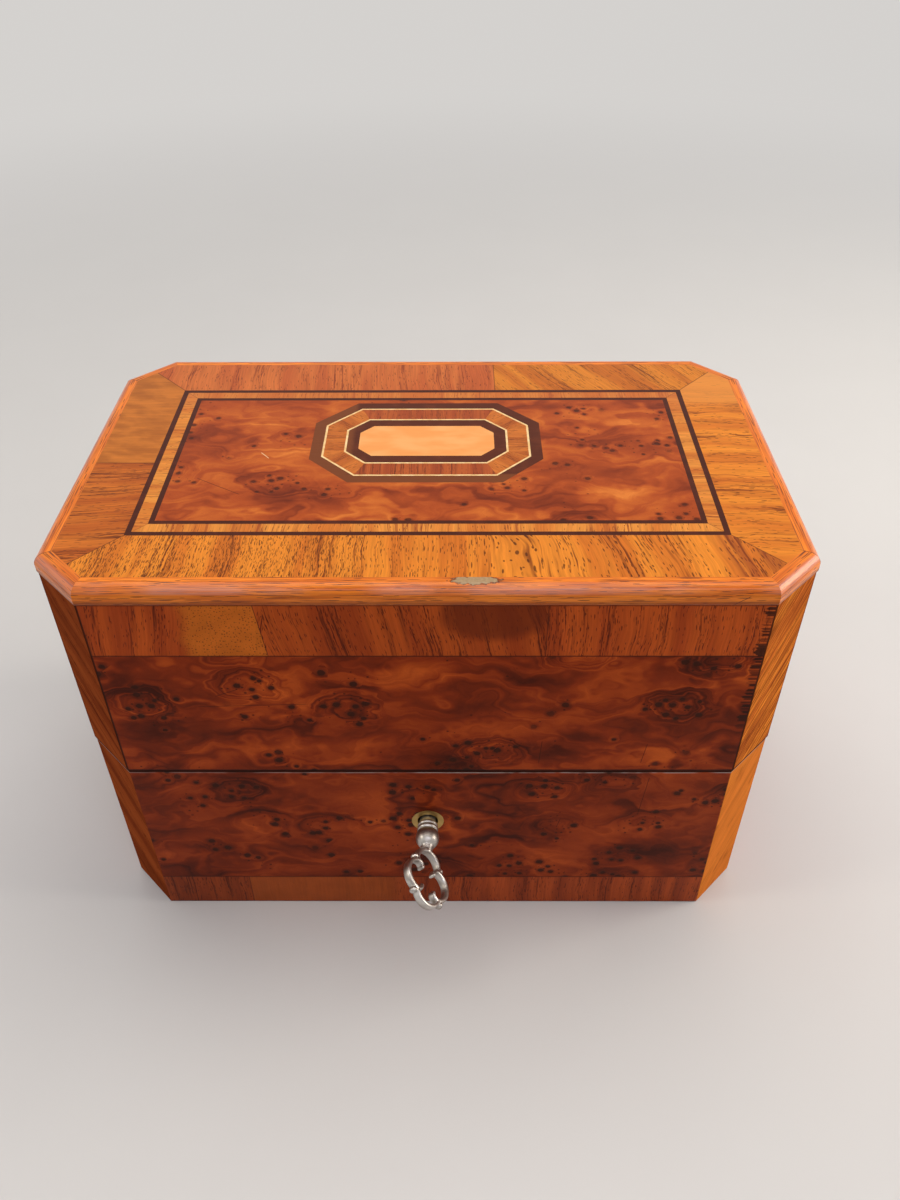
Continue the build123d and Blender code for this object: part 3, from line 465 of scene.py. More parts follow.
GOLD = ((0.76, 0.24, 0.026), (0.6, 0.155, 0.018), (0.16, 0.028, 0.006), (0.07, 0.014, 0.004))
ORANGE = ((0.6, 0.16, 0.022), (0.42, 0.09, 0.014), (0.13, 0.022, 0.006), (0.07, 0.013, 0.004))
ROSE = ((0.58, 0.15, 0.036), (0.48, 0.1, 0.026), (0.24, 0.04, 0.013), (0.15, 0.025, 0.009))
LID_BAND = ((0.5, 0.082, 0.011), (0.36, 0.05, 0.008), (0.12, 0.015, 0.004), (0.075, 0.01, 0.003))
BASE_BAND = ((0.36, 0.058, 0.012), (0.24, 0.036, 0.009), (0.1, 0.014, 0.005), (0.065, 0.009, 0.004))
PATCH = (0.62, 0.15, 0.014)
JOINT = (0.07, 0.013, 0.006)

# Where lengths of veneer meet, and how much the cartouche's corners are cut
BACK_JOINT_X = 20.0
LEFT_JOINT_Y = -4.0
LID_JOINTS_X = (-41.0, 30.5)
BASE_JOINT_X = -59.0
CARTOUCHE_CUT = 12.1


def mitre_lines(g):
    """1 along the four mitres of the top's crossbanding, from the string to the cants' middles."""
    cant_x, cant_y = moulding_x - top_cut / 2, moulding_y - top_cut / 2
    mark = 0.0
    for side_x in (-1, 1):
        for side_y in (-1, 1):
            start, end = (side_x * string_x, side_y * string_y), (side_x * cant_x, side_y * cant_y)
            mark = near_line(g, g.x, g.y, start, end, 0.16) + mark
    return mark


def top_surface(g, colour, pores, seed, glue=0.0):
    """Ends a material of the top's crossbanding, with its mitres and glue lines."""
    colour = g.mix((mitre_lines(g) + glue).least(1.0) * 0.85, colour, JOINT)
    return g.finish(colour, 0.36, g.noise(g.x / 2.4, g.y / 2.4, seed) * 0.25 - pores * 0.3, 0.05)


def front_crossband():
    """The top's front band: its lines fan out to the right and redden towards the mitre."""
    g = Graph("front_crossband", **POLISH)
    lean = g.x.smooth(5, 60) * 0.2 - g.x.smooth(-30, -70) * 0.07
    across = g.x + (g.y - face_y) * lean
    wide = g.x.smooth(10, 30)
    left = g.x.smooth(-10, -35)
    pore_share = 1.35 + left * 0.5 - wide * 0.6
    colour, pores = banding(g, across * (1 - wide * 0.35), g.y, 7.0, GOLD, pores=pore_share)
    dense = dashes(g, across, g.y, (0.5, 1.9), (0.12, 0.9), 0.62, 14.0) * left
    colour = g.mix(dense * 0.75, colour, GOLD[3])
    red_wedge = (across - 77.0).smooth(0, 3) * g.noise(across / 2.2, 0.5, 3.0, 1.0).smooth(0.35, 0.6)
    colour = g.mix(red_wedge * 0.6, colour, (0.25, 0.042, 0.012))
    return top_surface(g, colour, pores, 7.0)


dress(front_crossband(), "top_front_crossband")


def back_crossband():
    """The top's back band in two lengths, the right one with slanting lines."""
    g = Graph("back_crossband", **POLISH)
    right = g.x.smooth(BACK_JOINT_X - 0.1, BACK_JOINT_X + 0.1)
    across = g.x + (g.y - string_y) * (right * 0.55 + 0.05)
    left_colour, left_pores = banding(g, across, g.y, 19.0, ROSE, pores=0.6)
    right_colour, _ = banding(g, across, g.y, 27.0, GOLD, pores=0.7)
    colour = g.mix(right, left_colour, g.shade(right_colour, 0.86))
    return top_surface(g, colour, left_pores, 19.0, joint(g.x, BACK_JOINT_X))


dress(back_crossband(), "top_back_crossband")


def side_bands():
    """The two side crossbands: golden on the right; on the left one length in front of another."""
    g = Graph("side_crossbands", **POLISH)
    wave = (g.noise(g.x / 9, g.y / 7, 2.0, 1.0) - 0.5) * 3
    right, _ = banding(g, g.y + g.x * 0.06 + wave, g.x, 33.0, GOLD, lines=0.9, pores=0.7)
    right = g.mix(g.y.smooth(26, 34) * 0.75, right, (0.72, 0.26, 0.05))
    across = (g.y - g.x * 0.1) * 1.1
    front, front_pores = banding(g, across, g.x, 47.0, ORANGE, lines=1.15, pores=0.9, spread=1.3)
    clouds = g.noise(g.x / 9 + g.y / 22, g.y / 5, 51.0, 3.0)
    back = g.mix(clouds.smooth(0.35, 0.65), (0.4, 0.115, 0.018), (0.56, 0.17, 0.026))
    back = g.shade(back, g.noise(g.y / 0.8, g.x / 12, 52.0, 3.0) * 0.5 + 0.75)
    left = g.mix(step(g.y, LEFT_JOINT_Y), front, back)
    colour = g.mix(step(g.x, 0.0), left, right)
    pores = front_pores * step(-1 * g.x, 0.0) * step(-1 * g.y, -LEFT_JOINT_Y)
    return top_surface(g, colour, pores, 5.0, joint(g.y, LEFT_JOINT_Y, 0.25) * step(-1 * g.x, 0.0))


dress(side_bands(), "top_side_crossbands")


def light_band():
    """The narrow band between the strings, crossbanded."""
    g = Graph("light_band", **POLISH)
    past = (g.x.size() - string_x) - (g.y.size() - string_y)
    on_end = step(past, 0.0)
    across = g.x + (g.y - g.x) * on_end
    along = g.y + (g.x - g.y) * on_end
    tones = ((0.74, 0.27, 0.045), (0.6, 0.17, 0.026), (0.3, 0.055, 0.014), (0.16, 0.03, 0.01))
    colour, pores = banding(g, across, along, 61.0, tones, lines=0.8, pores=0.5)
    tick = g.noise(across / 0.4, along / 30, 66.0, 1.0).smooth(0.68, 0.74)
    colour = g.mix(tick * 0.7, colour, (0.14, 0.024, 0.008))
    colour = g.mix(g.y.smooth(20, 38) * 0.5, colour, (0.48, 0.11, 0.035))
    colour = g.mix(joint(past, 0.0, 0.12) * 0.7, colour, JOINT)
    return g.finish(colour, 0.36, pores * -0.3, 0.04)


dress(light_band(), "top_light_band")


def dark_wood(name, tone, tone_light):
    """Near-black wood, paler where it is worn."""
    g = Graph(name, **POLISH)
    along_x = g.noise(g.x / 6, g.y / 0.35, 3.0, 3.0)
    worn = g.noise(g.x / 5, g.y / 5, 9.0, 3.0).smooth(0.45, 0.75)
    colour = g.mix(worn * 0.6 + along_x * 0.4, tone, tone_light)
    return g, colour, along_x


def string_wood():
    """The dark strings of the top."""
    g, colour, fibre = dark_wood("string_wood", (0.045, 0.009, 0.005), (0.09, 0.017, 0.009))
    return g.finish(colour, 0.4, fibre, 0.03)


def border_wood():
    """The cartouche's dark borders, satin brown in front and on the left."""
    g, colour, fibre = dark_wood("border_wood", (0.075, 0.014, 0.006), (0.13, 0.028, 0.011))
    left = (g.x - cartouche_low.x - 12).smooth(1, -1)
    front = (g.y - cartouche_low.y - 4.2).smooth(0.5, -0.5)
    colour = g.mix(left.most(front) * 0.85, colour, g.shade((0.19, 0.052, 0.016), fibre * 0.3 + 0.85))
    return g.finish(colour, 0.4, fibre, 0.03)


dress(string_wood(), "top_strings")
dress(border_wood(), "cartouche_borders")


def pale_line():
    """The cartouche's pale lines."""
    g = Graph("pale_line", **POLISH)
    worn = g.noise(g.x / 2, g.y / 2, 2.0, 3.0).smooth(0.3, 0.7)
    return g.finish(g.mix(worn, (0.82, 0.5, 0.2), (0.95, 0.7, 0.36)), 0.4)


dress(pale_line(), "cartouche_lines")


def around_cartouche(g):
    """Across and along the grain of the cartouche's band, and 1 on its front and back lengths."""
    middle = (cartouche_low + cartouche_high) / 2
    half = (cartouche_high - cartouche_low) / 2
    dx, dy = g.x - middle.x, g.y - middle.y
    past_x, past_y = dx.size() - half.x, dy.size() - half.y
    cant = (past_x + past_y + CARTOUCHE_CUT) * math.sqrt(0.5)
    on_front = step(past_y - past_x, 0.0)
    across = dy + (dx - dy) * on_front
    along = dx + (dy - dx) * on_front
    on_cant = step(cant - past_x.most(past_y), 0.0)
    diagonal = (dx.size() - dy.size()) * math.sqrt(0.5)
    outwards = (dx.size() + dy.size()) * math.sqrt(0.5)
    across = across + (diagonal - across) * on_cant
    along = along + (outwards - along) * on_cant
    return across, along, on_front * (1 - on_cant)


def rose_band():
    """The cartouche's band: rosewood in front and at the back, more golden on its ends and cants."""
    g = Graph("rose_band", **POLISH)
    across, along, on_front = around_cartouche(g)
    tones = ((0.46, 0.1, 0.024), (0.34, 0.06, 0.017), (0.15, 0.024, 0.009), (0.1, 0.016, 0.007))
    colour, pores = banding(g, across * 1.7, along, 71.0, tones, pores=0.6)
    golden = ((0.6, 0.17, 0.03), (0.44, 0.105, 0.019), (0.18, 0.034, 0.01), (0.1, 0.02, 0.007))
    ends, _ = banding(g, across * 1.7, along, 83.0, golden, pores=0.8)
    return g.finish(g.mix(on_front, ends, colour), 0.36, pores * -0.3, 0.04)


dress(rose_band(), "cartouche_band")


def plate():
    """The cartouche's pale plate, faintly clouded."""
    g = Graph("plate", **POLISH)
    clouds = g.noise(g.x / 11, g.y / 5, 4.0, 2.0)
    fibre = g.noise(g.x / 7, g.y / 0.6, 5.0, 3.0)
    colour = g.mix(clouds.smooth(0.35, 0.7), (0.9, 0.35, 0.1), (0.94, 0.43, 0.15))
    return g.finish(g.shade(colour, fibre * 0.1 + 0.94), 0.4, fibre, 0.02)


dress(plate(), "cartouche_plate")

# Bands of the walls


def darker_band_edges(g, v, colour, low, high):
    """Dark ragged lines along the upper and lower edges of a wall's band."""
    ragged = g.noise(g.x / 1.5 + g.y / 1.5, v / 0.6, 4.0, 2.0) * 0.5
    edge = (v - low).smooth(0.5, 0.1) + (high - v).smooth(0.5, 0.1)
    return g.mix((edge * ragged * 1.4).least(0.8), colour, JOINT)


def lid_front_band():
    """The lid's front band: striped, a golden speckled patch, slanting stripes, upright stripes."""
    g = Graph("lid_front_band", **WALL_POLISH)
    u, v = g.on_wall()
    band_low, band_high = span("lid_front_band")
    high = v - band_low.z
    first, second = LID_JOINTS_X
    lean = step(u, first) * 0.35 - step(u, second) * 0.2 - 0.15
    across = u + high * lean
    colour, pores = banding(g, across, v, 91.0, LID_BAND)
    colour = g.shade(colour, step(u, second) * 0.14 + 0.95 + u.within(-95, first, 1) * 0.1)
    off_u, off_v = (u - 17) / 15, (high - 14) / 9
    knot = (off_u * off_u + off_v * off_v).smooth(1.3, 0.5) * u.within(3, second, 1.5)
    colour = g.mix(knot * 0.75, colour, (0.14, 0.018, 0.004))
    slant = u + high * 0.12
    wander = (g.noise(v / 5, 0.3, 2.0) - 0.5) * 3
    patch = (u + wander).smooth(first - 23, first - 18) * step(first - slant, 0)
    speckle, own, _ = g.cells(u / 0.75, v / 0.9)
    golden = g.shade(PATCH, g.noise(u / 6, v / 5, 3.0, 2.0) * 0.5 + 0.75)
    golden = g.mix((speckle / (own[0] * 0.3 + 0.02)).smooth(1.1, 0.7) * 0.7, golden, JOINT)
    colour = g.mix(patch * 0.85, colour, golden)
    glue = joint(slant, first, 0.16) + joint(u, second, 0.16)
    colour = g.mix(glue.least(1.0) * 0.8, colour, JOINT)
    colour = worn_corner(g, u, v, darker_band_edges(g, v, colour, band_low.z, band_high.z))
    return g.finish(colour, 0.38, pores * -0.3, 0.05)


def base_front_band():
    """The base's front band: stripes left of its joint, then a smoother orange length."""
    g = Graph("base_front_band", **WALL_POLISH)
    u, v = g.on_wall()
    band_low, band_high = span("base_front_band")
    colour, pores = banding(g, u, v, 103.0, BASE_BAND, pores=0.8)
    colour = g.shade(colour, u.smooth(-60, 20) * 0.35 + 0.85)
    golden = g.shade((0.42, 0.085, 0.014), g.noise(u / 7, v / 6, 8.0, 2.0) * 0.5 + 0.75)
    golden = g.shade(golden, g.noise(u / 0.6, v / 14, 9.0, 2.0) * 0.4 + 0.8)
    length = u.smooth(BASE_JOINT_X - 0.5, BASE_JOINT_X + 0.5) * u.smooth(-8, -16)
    colour = g.mix(length * 0.7, colour, golden)
    colour = g.mix(joint(u, BASE_JOINT_X, 0.16) * 0.8, colour, JOINT)
    return g.finish(darker_band_edges(g, v, colour, band_low.z, band_high.z), 0.38, pores * -0.3, 0.05)


def other_bands():
    """The bands of the sides and the back, striped like the front ones."""
    g = Graph("other_bands", **WALL_POLISH)
    u, v = g.on_wall()
    colour, pores = banding(g, u, v, 113.0, LID_BAND)
    return g.finish(colour, 0.38, pores * -0.3, 0.05)


dress(lid_front_band(), "lid_front_band")
dress(base_front_band(), "base_front_band")
dress(other_bands(), "lid_other_bands", "base_other_bands")

# Cants


def cants():
    """The corner veneers: fine golden stripes that rise to the right, their tones lightened as painted
    light, and duller ones that fall on the left, their tones darkened as painted shade.
    """
    g = Graph("cant_veneer", **CANT_POLISH)
    u, v = g.on_wall()
    # Lit and shaded copies: the right-hand cants' golden tones carry painted light, the left-hand cants'
    # dull ones painted shade
    lit_gold = ((0.76, 0.235, 0.032), (0.56, 0.14, 0.024), (0.2, 0.04, 0.012), (0.12, 0.024, 0.009))
    dull = ((0.33, 0.07, 0.018), (0.22, 0.042, 0.012), (0.09, 0.015, 0.006), (0.05, 0.009, 0.005))
    across = (v - u * 1.15) * 0.66
    rising, pores = banding(g, across, (u + v * 1.15) * 0.66, 121.0, lit_gold, pores=0.5, spread=1.2)
    fine = g.noise(across / 0.55, (u + v) / 40, 125.0, 2.0, 0.6).smooth(0.45, 0.6)
    rising = g.mix(fine * 0.7, rising, (0.24, 0.05, 0.013))
    stripes = g.noise(across / 1.1, (u + v) / 30, 127.0, 2.0).smooth(0.5, 0.6) * step(v, rim_z)
    rising = g.mix(stripes * 0.55, rising, (0.14, 0.028, 0.009))
    shaded_falling, _ = banding(g, (v + u) * 0.7, (u - v) * 0.7, 133.0, dull, lines=0.8, pores=0.4)
    smoother = g.shade((0.68, 0.2, 0.034), g.noise(u / 5 - v / 9, v / 16, 6.0, 2.0) * 0.7 + 0.62)
    smudges = g.noise(u / 4 - v / 9, v / 9, 16.0, 2.0).smooth(0.56, 0.72)
    smoother = g.mix(smudges * 0.5, smoother, (0.2, 0.045, 0.014))
    rising = g.mix(step(rim_z - v, 0.0) * 0.7, rising, smoother)
    # Painted light on the right-hand cants and painted shade on the left-hand ones
    colour = g.mix(step(g.x, 0.0), shaded_falling, rising)
    arris = (g.y - face_y) * math.sqrt(2)
    side_arris = (lid_half - g.x.size()) * math.sqrt(2)
    line = arris.smooth(0.75, 0.35).most(side_arris.smooth(0.8, 0.4) * 0.5)
    # Painted shadow: a dark line across the cants at the gap where the lid parts from the base
    seam = (v - rim_z).within(-0.45, lid_low_z - rim_z + 0.5, 0.12)
    colour = g.mix(line.most(seam) * 0.9, colour, (0.03, 0.008, 0.004))
    # A thin pale line along the cants at the top of the base
    pale_mark = (rim_z - v).within(0.42, 0.72, 0.1)
    colour = g.mix(pale_mark * 0.6, colour, (0.4, 0.36, 0.32))
    return g.finish(colour, 0.34, pores * -0.3, 0.05)


dress(cants(), "lid_corner_veneers", "base_corner_veneers")

# Edge moulding


def moulding_material(name, along_of, inset_of):
    """The moulding's graph, colour and grain, which runs along it and wraps round its edge."""
    g = Graph(name, **MOULDING_POLISH)
    along = along_of(g)
    around = g.z + inset_of(g)
    grain = g.noise(along / 12, around / 0.5, 7.0, 3.0, 0.6)
    broad = g.noise(along / 30, around / 2.2, 9.0, 2.0)
    marks = dashes(g, around, along, (0.6, 5.0), (0.14, 2.4), 0.42, 12.0)
    colour = g.mix(broad.smooth(0.35, 0.65), (0.64, 0.13, 0.008), (0.9, 0.235, 0.016))
    colour = g.shade(colour, grain * 0.8 + 0.6)
    streaks = g.noise(along / 14, around / 0.4, 17.0, 2.0).smooth(0.54, 0.66)
    colour = g.mix(streaks * 0.75, colour, (0.2, 0.036, 0.009))
    colour = g.mix(marks * 0.85, colour, (0.09, 0.018, 0.006))
    # Painted sheen: pinkish patches along the upper part of the round, a painted reflection of cool light
    # from above
    sheen_patches = g.noise(along / 26, 0.5, 27.0, 2.0).smooth(0.32, 0.6)
    crown = (g.z - top_z + 1.2).within(-0.8, 0.9, 0.4) * (grain.smooth(0.7, 0.4) * 0.5 + 0.5)
    colour = g.mix(crown * sheen_patches * 0.5, colour, (0.7, 0.32, 0.26))
    # Painted shade: the moulding's lowest strip is darkened
    colour = g.mix((top_z - g.z - 3.6).smooth(0.0, 1.2) * 0.65, colour, (0.2, 0.034, 0.007))
    outer, inner = octagon(lid_half + 0.3), octagon(moulding_x)
    for n in (2, 3):
        mitred = near_line(g, g.x.size(), g.y.size(), inner[n], outer[n], 0.14)
        colour = g.mix(mitred * 0.85, colour, JOINT)
    return g, colour, grain


# The chip in the front moulding: its middle, and half its length and width
CHIP_AT, CHIP_HALF = (12.2, -57.4), (6.2, 1.5)


def moulding_runs():
    """The long and the end lengths, with a chip in the front one and a scarf joint near its right end."""

    def past(g):
        return step(g.x.size(), moulding_x)

    def along(g):
        return g.x + (g.y - g.x) * past(g)

    def inset(g):
        from_face = -face_y - g.y.size()
        return from_face + ((lid_half - g.x.size()) - from_face) * past(g)

    g, colour, grain = moulding_material("moulding", along, inset)
    scarf = near_line(g, g.x, g.z, (75.5, top_z - 5.4), (79.5, top_z - 2.6), 0.16) * step(-1 * g.y, 50)
    colour = g.mix(scarf * 0.8, colour, JOINT)
    edge = g.noise(g.x / 1.1, g.y / 0.8, 3.0, 2.0) - 0.5
    off_x, off_y = (g.x - CHIP_AT[0]) / CHIP_HALF[0], (g.y - CHIP_AT[1]) / CHIP_HALF[1]
    reach = off_x * off_x + off_y * off_y + edge * 1.8
    chip = reach.smooth(1.0, 0.86)
    pale_mark = g.mix(g.noise(g.x / 0.7, g.y / 0.7, 4.0), (0.3, 0.19, 0.09), (0.5, 0.34, 0.19))
    colour = g.mix(chip, colour, pale_mark)
    outline = (reach - 1.0).size().smooth(0.25, 0.05)
    colour = g.mix(outline * 0.7, colour, JOINT)
    return g.finish(colour, 0.34 + chip * 0.3, grain - chip * 3, 0.04)


def moulding_cants():
    """The four short lengths on the cants."""

    def along(g):
        return (g.x.size() - g.y.size()) * 0.7

    def inset(g):
        return (g.x.size() + g.y.size()) * -0.7

    g, colour, grain = moulding_material("moulding_cants", along, inset)
    return g.finish(colour, 0.34, grain, 0.04)


dress(moulding_runs(), "lid_moulding_runs")
dress(moulding_cants(), "lid_moulding_cants")

# Carcass, brass and steel


# Boards farther out along X than this have their grain along Y
SIDE_BOARDS_FROM = (84.9, 85.3)


def plain_wood(name, tones, gloss):
    """Plain wood whose grain runs along the long way of its boards."""
    g = Graph(name, Specular_IOR_Level=gloss)
    on_side = g.x.size().smooth(*SIDE_BOARDS_FROM)
    along = g.x + (g.y - g.x) * on_side
    across = g.y + (g.x - g.y) * on_side
    fibre = g.noise(along / 24, (across + g.z) / 0.8, 3.0, 3.0, 0.6)
    figure = g.noise(along / 40, (across + g.z) / 4, 5.0, 2.0)
    pores = dashes(g, across + g.z, along, (0.8, 4.0), (0.14, 2.0), 0.4, 9.0)
    colour = g.ramp(fibre * 0.6 + figure * 0.4, *tones)
    colour = g.mix(pores * 0.6, colour, tones[0])
    return g.finish(colour, 0.5, fibre, 0.04)


carcass = plain_wood("carcass_wood", ((0.1, 0.032, 0.012), (0.21, 0.075, 0.027), (0.3, 0.12, 0.045)), 0.2)
tray_wood = plain_wood("tray_wood", ((0.05, 0.01, 0.004), (0.16, 0.032, 0.01), (0.3, 0.07, 0.02)), 0.3)
boards = ("front_board", "back_board", "side_boards", "corner_posts")
for part in ("base", "lid"):
    dress(carcass, *(f"{part}_{board}" for board in boards))
dress(carcass, "base_bottom_board", "lid_top_board", "tray_floor")
dress(tray_wood, "tray_frame", "tray_dividers")


def metal(name, bright, dull, roughness):
    """Old metal with a cloudy polish and fine scratches."""
    g = Graph(name, Metallic=1.0)
    patina = g.noise(g.x / 4 + g.z / 3, g.y / 4 + g.z / 5, 2.0, 3.0, 0.5)
    scratches = g.noise(g.x / 0.2, g.z / 4 + g.y / 4, 5.0, 2.0)
    colour = g.mix(patina.smooth(0.3, 0.7), dull, bright)
    return g.finish(colour, patina * -0.15 + roughness + 0.08, scratches, 0.006)


steel = metal("steel", (0.58, 0.55, 0.52), (0.3, 0.26, 0.23), 0.36)
dress(steel, "lock_spring", "base_screws", "lid_screws", "lock_drill_pin")
brass = metal("brass", (0.54, 0.36, 0.125), (0.44, 0.29, 0.1), 0.32)
dress(brass, "escutcheon", "lock_plate", "lock_case", "lock_bolt", "link_plate")
dress(brass, "base_hinge_leaves", "lid_hinge_leaves", "hinge_pins")


def baize():
    """Green baize under the base."""
    g = Graph("baize", Sheen_Weight=0.4, Specular_IOR_Level=0.1)
    nap = g.noise(g.x / 0.4, g.y / 0.4, 3.0, 3.0)
    return g.finish(g.mix(nap, (0.03, 0.09, 0.045), (0.06, 0.16, 0.08)), 0.95, nap, 0.2)


def cloth(name, low, high):
    """Velvet or silk: a soft nap between two tones."""
    g = Graph(name, Sheen_Weight=0.25, Sheen_Roughness=0.5, Specular_IOR_Level=0.15)
    nap = g.noise(g.x / 3 + g.z / 4, g.y / 3 + g.z / 5, 3.0, 4.0, 0.7)
    pile = g.noise(g.x / 0.2 + g.z / 0.3, g.y / 0.2, 7.0, 1.0)
    return g.finish(g.mix(nap, low, high), 0.8, pile + nap, 0.1)


velvet = cloth("velvet", (0.13, 0.012, 0.022), (0.3, 0.035, 0.06))
silk = cloth("silk", (0.62, 0.5, 0.36), (0.78, 0.68, 0.52))
dress(baize(), "base_underlay")

# Soft pieces


def moved_in(points, distance):
    """A convex outline, anticlockwise, with each side moved in by a distance."""
    lines = []
    for start, end in zip(points, points[1:] + points[:1]):
        length = math.dist(start, end)
        nx, ny = -(end[1] - start[1]) / length, (end[0] - start[0]) / length
        lines.append((nx, ny, nx * start[0] + ny * start[1] + distance))
    moved = []
    for (a, b, c), (d, e, f) in zip(lines[-1:] + lines[:-1], lines):
        det = a * e - b * d
        moved.append(((c * e - b * f) / det, (a * f - c * d) / det))
    return moved


def islands(node):
    """The separate solids of a CAD node, each as its vertices in millimetres."""
    mesh = bmesh.new()
    mesh.from_mesh(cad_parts[node].data)
    bmesh.ops.remove_doubles(mesh, verts=mesh.verts, dist=1e-6)
    left, groups = set(mesh.verts), []
    while left:
        stack, group = [left.pop()], []
        while stack:
            vert = stack.pop()
            group.append(vert.co * 1000)
            for edge in vert.link_edges:
                other = edge.other_vert(vert)
                if other in left:
                    left.remove(other)
                    stack.append(other)
        groups.append(group)
    mesh.free()
    return sorted(groups, key=lambda group: (round(min(v.y for v in group), 2), min(v.x for v in group)))


def limits(points):
    """The lowest and highest corners of a group of points."""
    low = Vector([min(p[n] for p in points) for n in range(3)])
    high = Vector([max(p[n] for p in points) for n in range(3)])
    return low, high


def cross(a, b, c):
    """Over 0 where the turn from a by b to c is anticlockwise."""
    return (b[0] - a[0]) * (c[1] - a[1]) - (b[1] - a[1]) * (c[0] - a[0])


def hull(points):
    """The plan outline of a solid, anticlockwise."""
    spots = sorted({(round(p.x, 3), round(p.y, 3)) for p in points})
    chains = []
    for order in (spots, spots[::-1]):
        chain = []
        for p in order:
            while len(chain) > 1 and cross(chain[-2], chain[-1], p) <= 1e-4:
                chain.pop()
            chain.append(p)
        chains.append(chain[:-1])
    return chains[0] + chains[1]


def piece(name, mesh, body, slot, material, *replaced):
    """Makes a smooth object of a bmesh in millimetres, on a body and in place of CAD nodes."""
    bmesh.ops.recalc_face_normals(mesh, faces=mesh.faces)
    for face in mesh.faces:
        face.smooth = True
    data = bpy.data.meshes.new(name)
    mesh.to_mesh(data)
    mesh.free()
    data.transform(Matrix.Scale(0.001, 4))
    data.materials.append(material)
    made = bpy.data.objects.new(name, data)
    bpy.context.scene.collection.objects.link(made)
    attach(made, body)
    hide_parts(*replaced)
    return made


def arc(middle, radius, start, sweep, count):
    """Points of a plane along an arc, both ends included."""
    turns = [start + sweep * k / count for k in range(count + 1)]
    return [(middle[0] + radius * math.cos(t), middle[1] + radius * math.sin(t)) for t in turns]


def circle(middle, radius, count):
    """Points of a plane round a circle."""
    return arc(middle, radius, 0.0, 2 * math.pi, count)[:-1]


def right_of(path, k):
    """The direction to the right of a path at one of its points."""
    before, after = path[max(k - 1, 0)], path[min(k + 1, len(path) - 1)]
    length = math.dist(before, after)
    return (after[1] - before[1]) / length, (before[0] - after[0]) / length


def skin(mesh, rings):
    """Faces round a row of equal rings, closed at both ends."""
    count = len(rings[0])
    for before, after in zip(rings, rings[1:]):
        for n in range(count):
            m = (n + 1) % count
            mesh.faces.new([before[n], before[m], after[m], after[n]])
    mesh.faces.new(rings[0][::-1])
    mesh.faces.new(rings[-1])


def two_sided(mesh, front, back, columns, rows):
    """Faces of two equal grids of vertices and of the rim between them."""
    width = columns + 1
    for row in range(rows):
        for column in range(columns):
            a = row * width + column
            for layer in (front, back):
                mesh.faces.new([layer[a], layer[a + 1], layer[a + width + 1], layer[a + width]])
    rim = [n for n in range(columns)] + [columns + width * n for n in range(rows)]
    rim += [rows * width + n for n in range(columns, 0, -1)] + [width * n for n in range(rows, 0, -1)]
    for a, b in zip(rim, rim[1:] + rim[:1]):
        mesh.faces.new([front[a], front[b], back[b], back[a]])


# Key: the CAD's stem with a bow of forged scrolls

# From the key's outer end to the bow's middle, and from there to the stem's cut and the new neck's end
BOW_MIDDLE, NECK_CUT, NECK_START = 8.65, 10.75, 12.1
NECK_LENGTH, NECK_RADII = 2.6, (1.85, 1.3)
BOW_HALF_WIDTH, BOW_HALF_THICK = 0.72, 1.25
SIDE_REACH, FAR_REACH, NEAR_REACH = 8.0, 8.0, 9.8
CUSP_ACROSS, CUSP_ALONG = 4.4, 4.6
CUSP_BALL, CUSP_BALL_OUT = 1.0, 1.35
HOOK_RADIUS, HOOK_SWEEP = 1.55, 2.3
# How far in a strand's end is rounded, its width there as a share, and what each millimetre adds
ROUND_END, END_WIDTH, WIDENING = 0.5, 0.6, 0.13
SECTION_POINTS = 16
FORGED_DETAIL = 0.17
SHARP_ANGLE = 0.7


def bow_lobe(reach, cusp_at, half_chord, hooked):
    """One lobe as a path from cusp to cusp; a hooked one curls inwards beyond both of its cusps."""
    middle = (reach**2 - cusp_at**2 - half_chord**2) / (2 * (reach - cusp_at))
    half_sweep = math.atan2(half_chord, cusp_at - middle)
    path = arc((middle, 0), reach - middle, -half_sweep, 2 * half_sweep, 36)
    if not hooked:
        return path
    inner = reach - middle - HOOK_RADIUS
    centre = (middle + inner * math.cos(half_sweep), inner * math.sin(half_sweep))
    curl = arc(centre, HOOK_RADIUS, half_sweep, HOOK_SWEEP, 16)[1:]
    return [(x, -y) for x, y in reversed(curl)] + path + curl


def squarer(value):
    """A cosine or sine changed so that a circle becomes a square with rounded corners."""
    return math.copysign(abs(value) ** 0.6, value)


def forged_strand(mesh, path, place):
    """A flat bar with rounded edges along a path in the bow's plane, thinner and round at its ends."""
    run = [0.0]
    for start, end in zip(path, path[1:]):
        run.append(run[-1] + math.dist(start, end))
    rings = []
    for k, (x, y) in enumerate(path):
        right_x, right_y = right_of(path, k)
        end = min(run[k], run[-1] - run[k])
        tip = max(math.sqrt(1 - max(0.0, 1 - end / ROUND_END) ** 2), 0.08)
        size = tip * min(1.0, END_WIDTH + WIDENING * end)
        ring = []
        for c, s in circle((0, 0), 1, SECTION_POINTS):
            out = squarer(c) * BOW_HALF_WIDTH * size
            thick = squarer(s) * BOW_HALF_THICK * max(tip, size)
            ring.append(mesh.verts.new(place @ Vector((x + right_x * out, y + right_y * out, thick))))
        rings.append(ring)
    skin(mesh, rings)


def melted(mesh, detail, smoothing):
    """The shells of a bmesh joined into one skin, with a fillet where they meet."""
    data = bpy.data.meshes.new("melted")
    mesh.to_mesh(data)
    mesh.free()
    made = bpy.data.objects.new("melted", data)
    bpy.context.scene.collection.objects.link(made)
    remesh = made.modifiers.new("remesh", "REMESH")
    remesh.mode = "VOXEL"
    remesh.voxel_size = detail
    smooth = made.modifiers.new("smooth", "SMOOTH")
    smooth.factor = 0.5
    smooth.iterations = smoothing
    surface = bpy.data.meshes.new_from_object(made.evaluated_get(bpy.context.evaluated_depsgraph_get()))
    joined = bmesh.new()
    joined.from_mesh(surface)
    bpy.data.objects.remove(made)
    bpy.data.meshes.remove(data)
    bpy.data.meshes.remove(surface)
    return joined


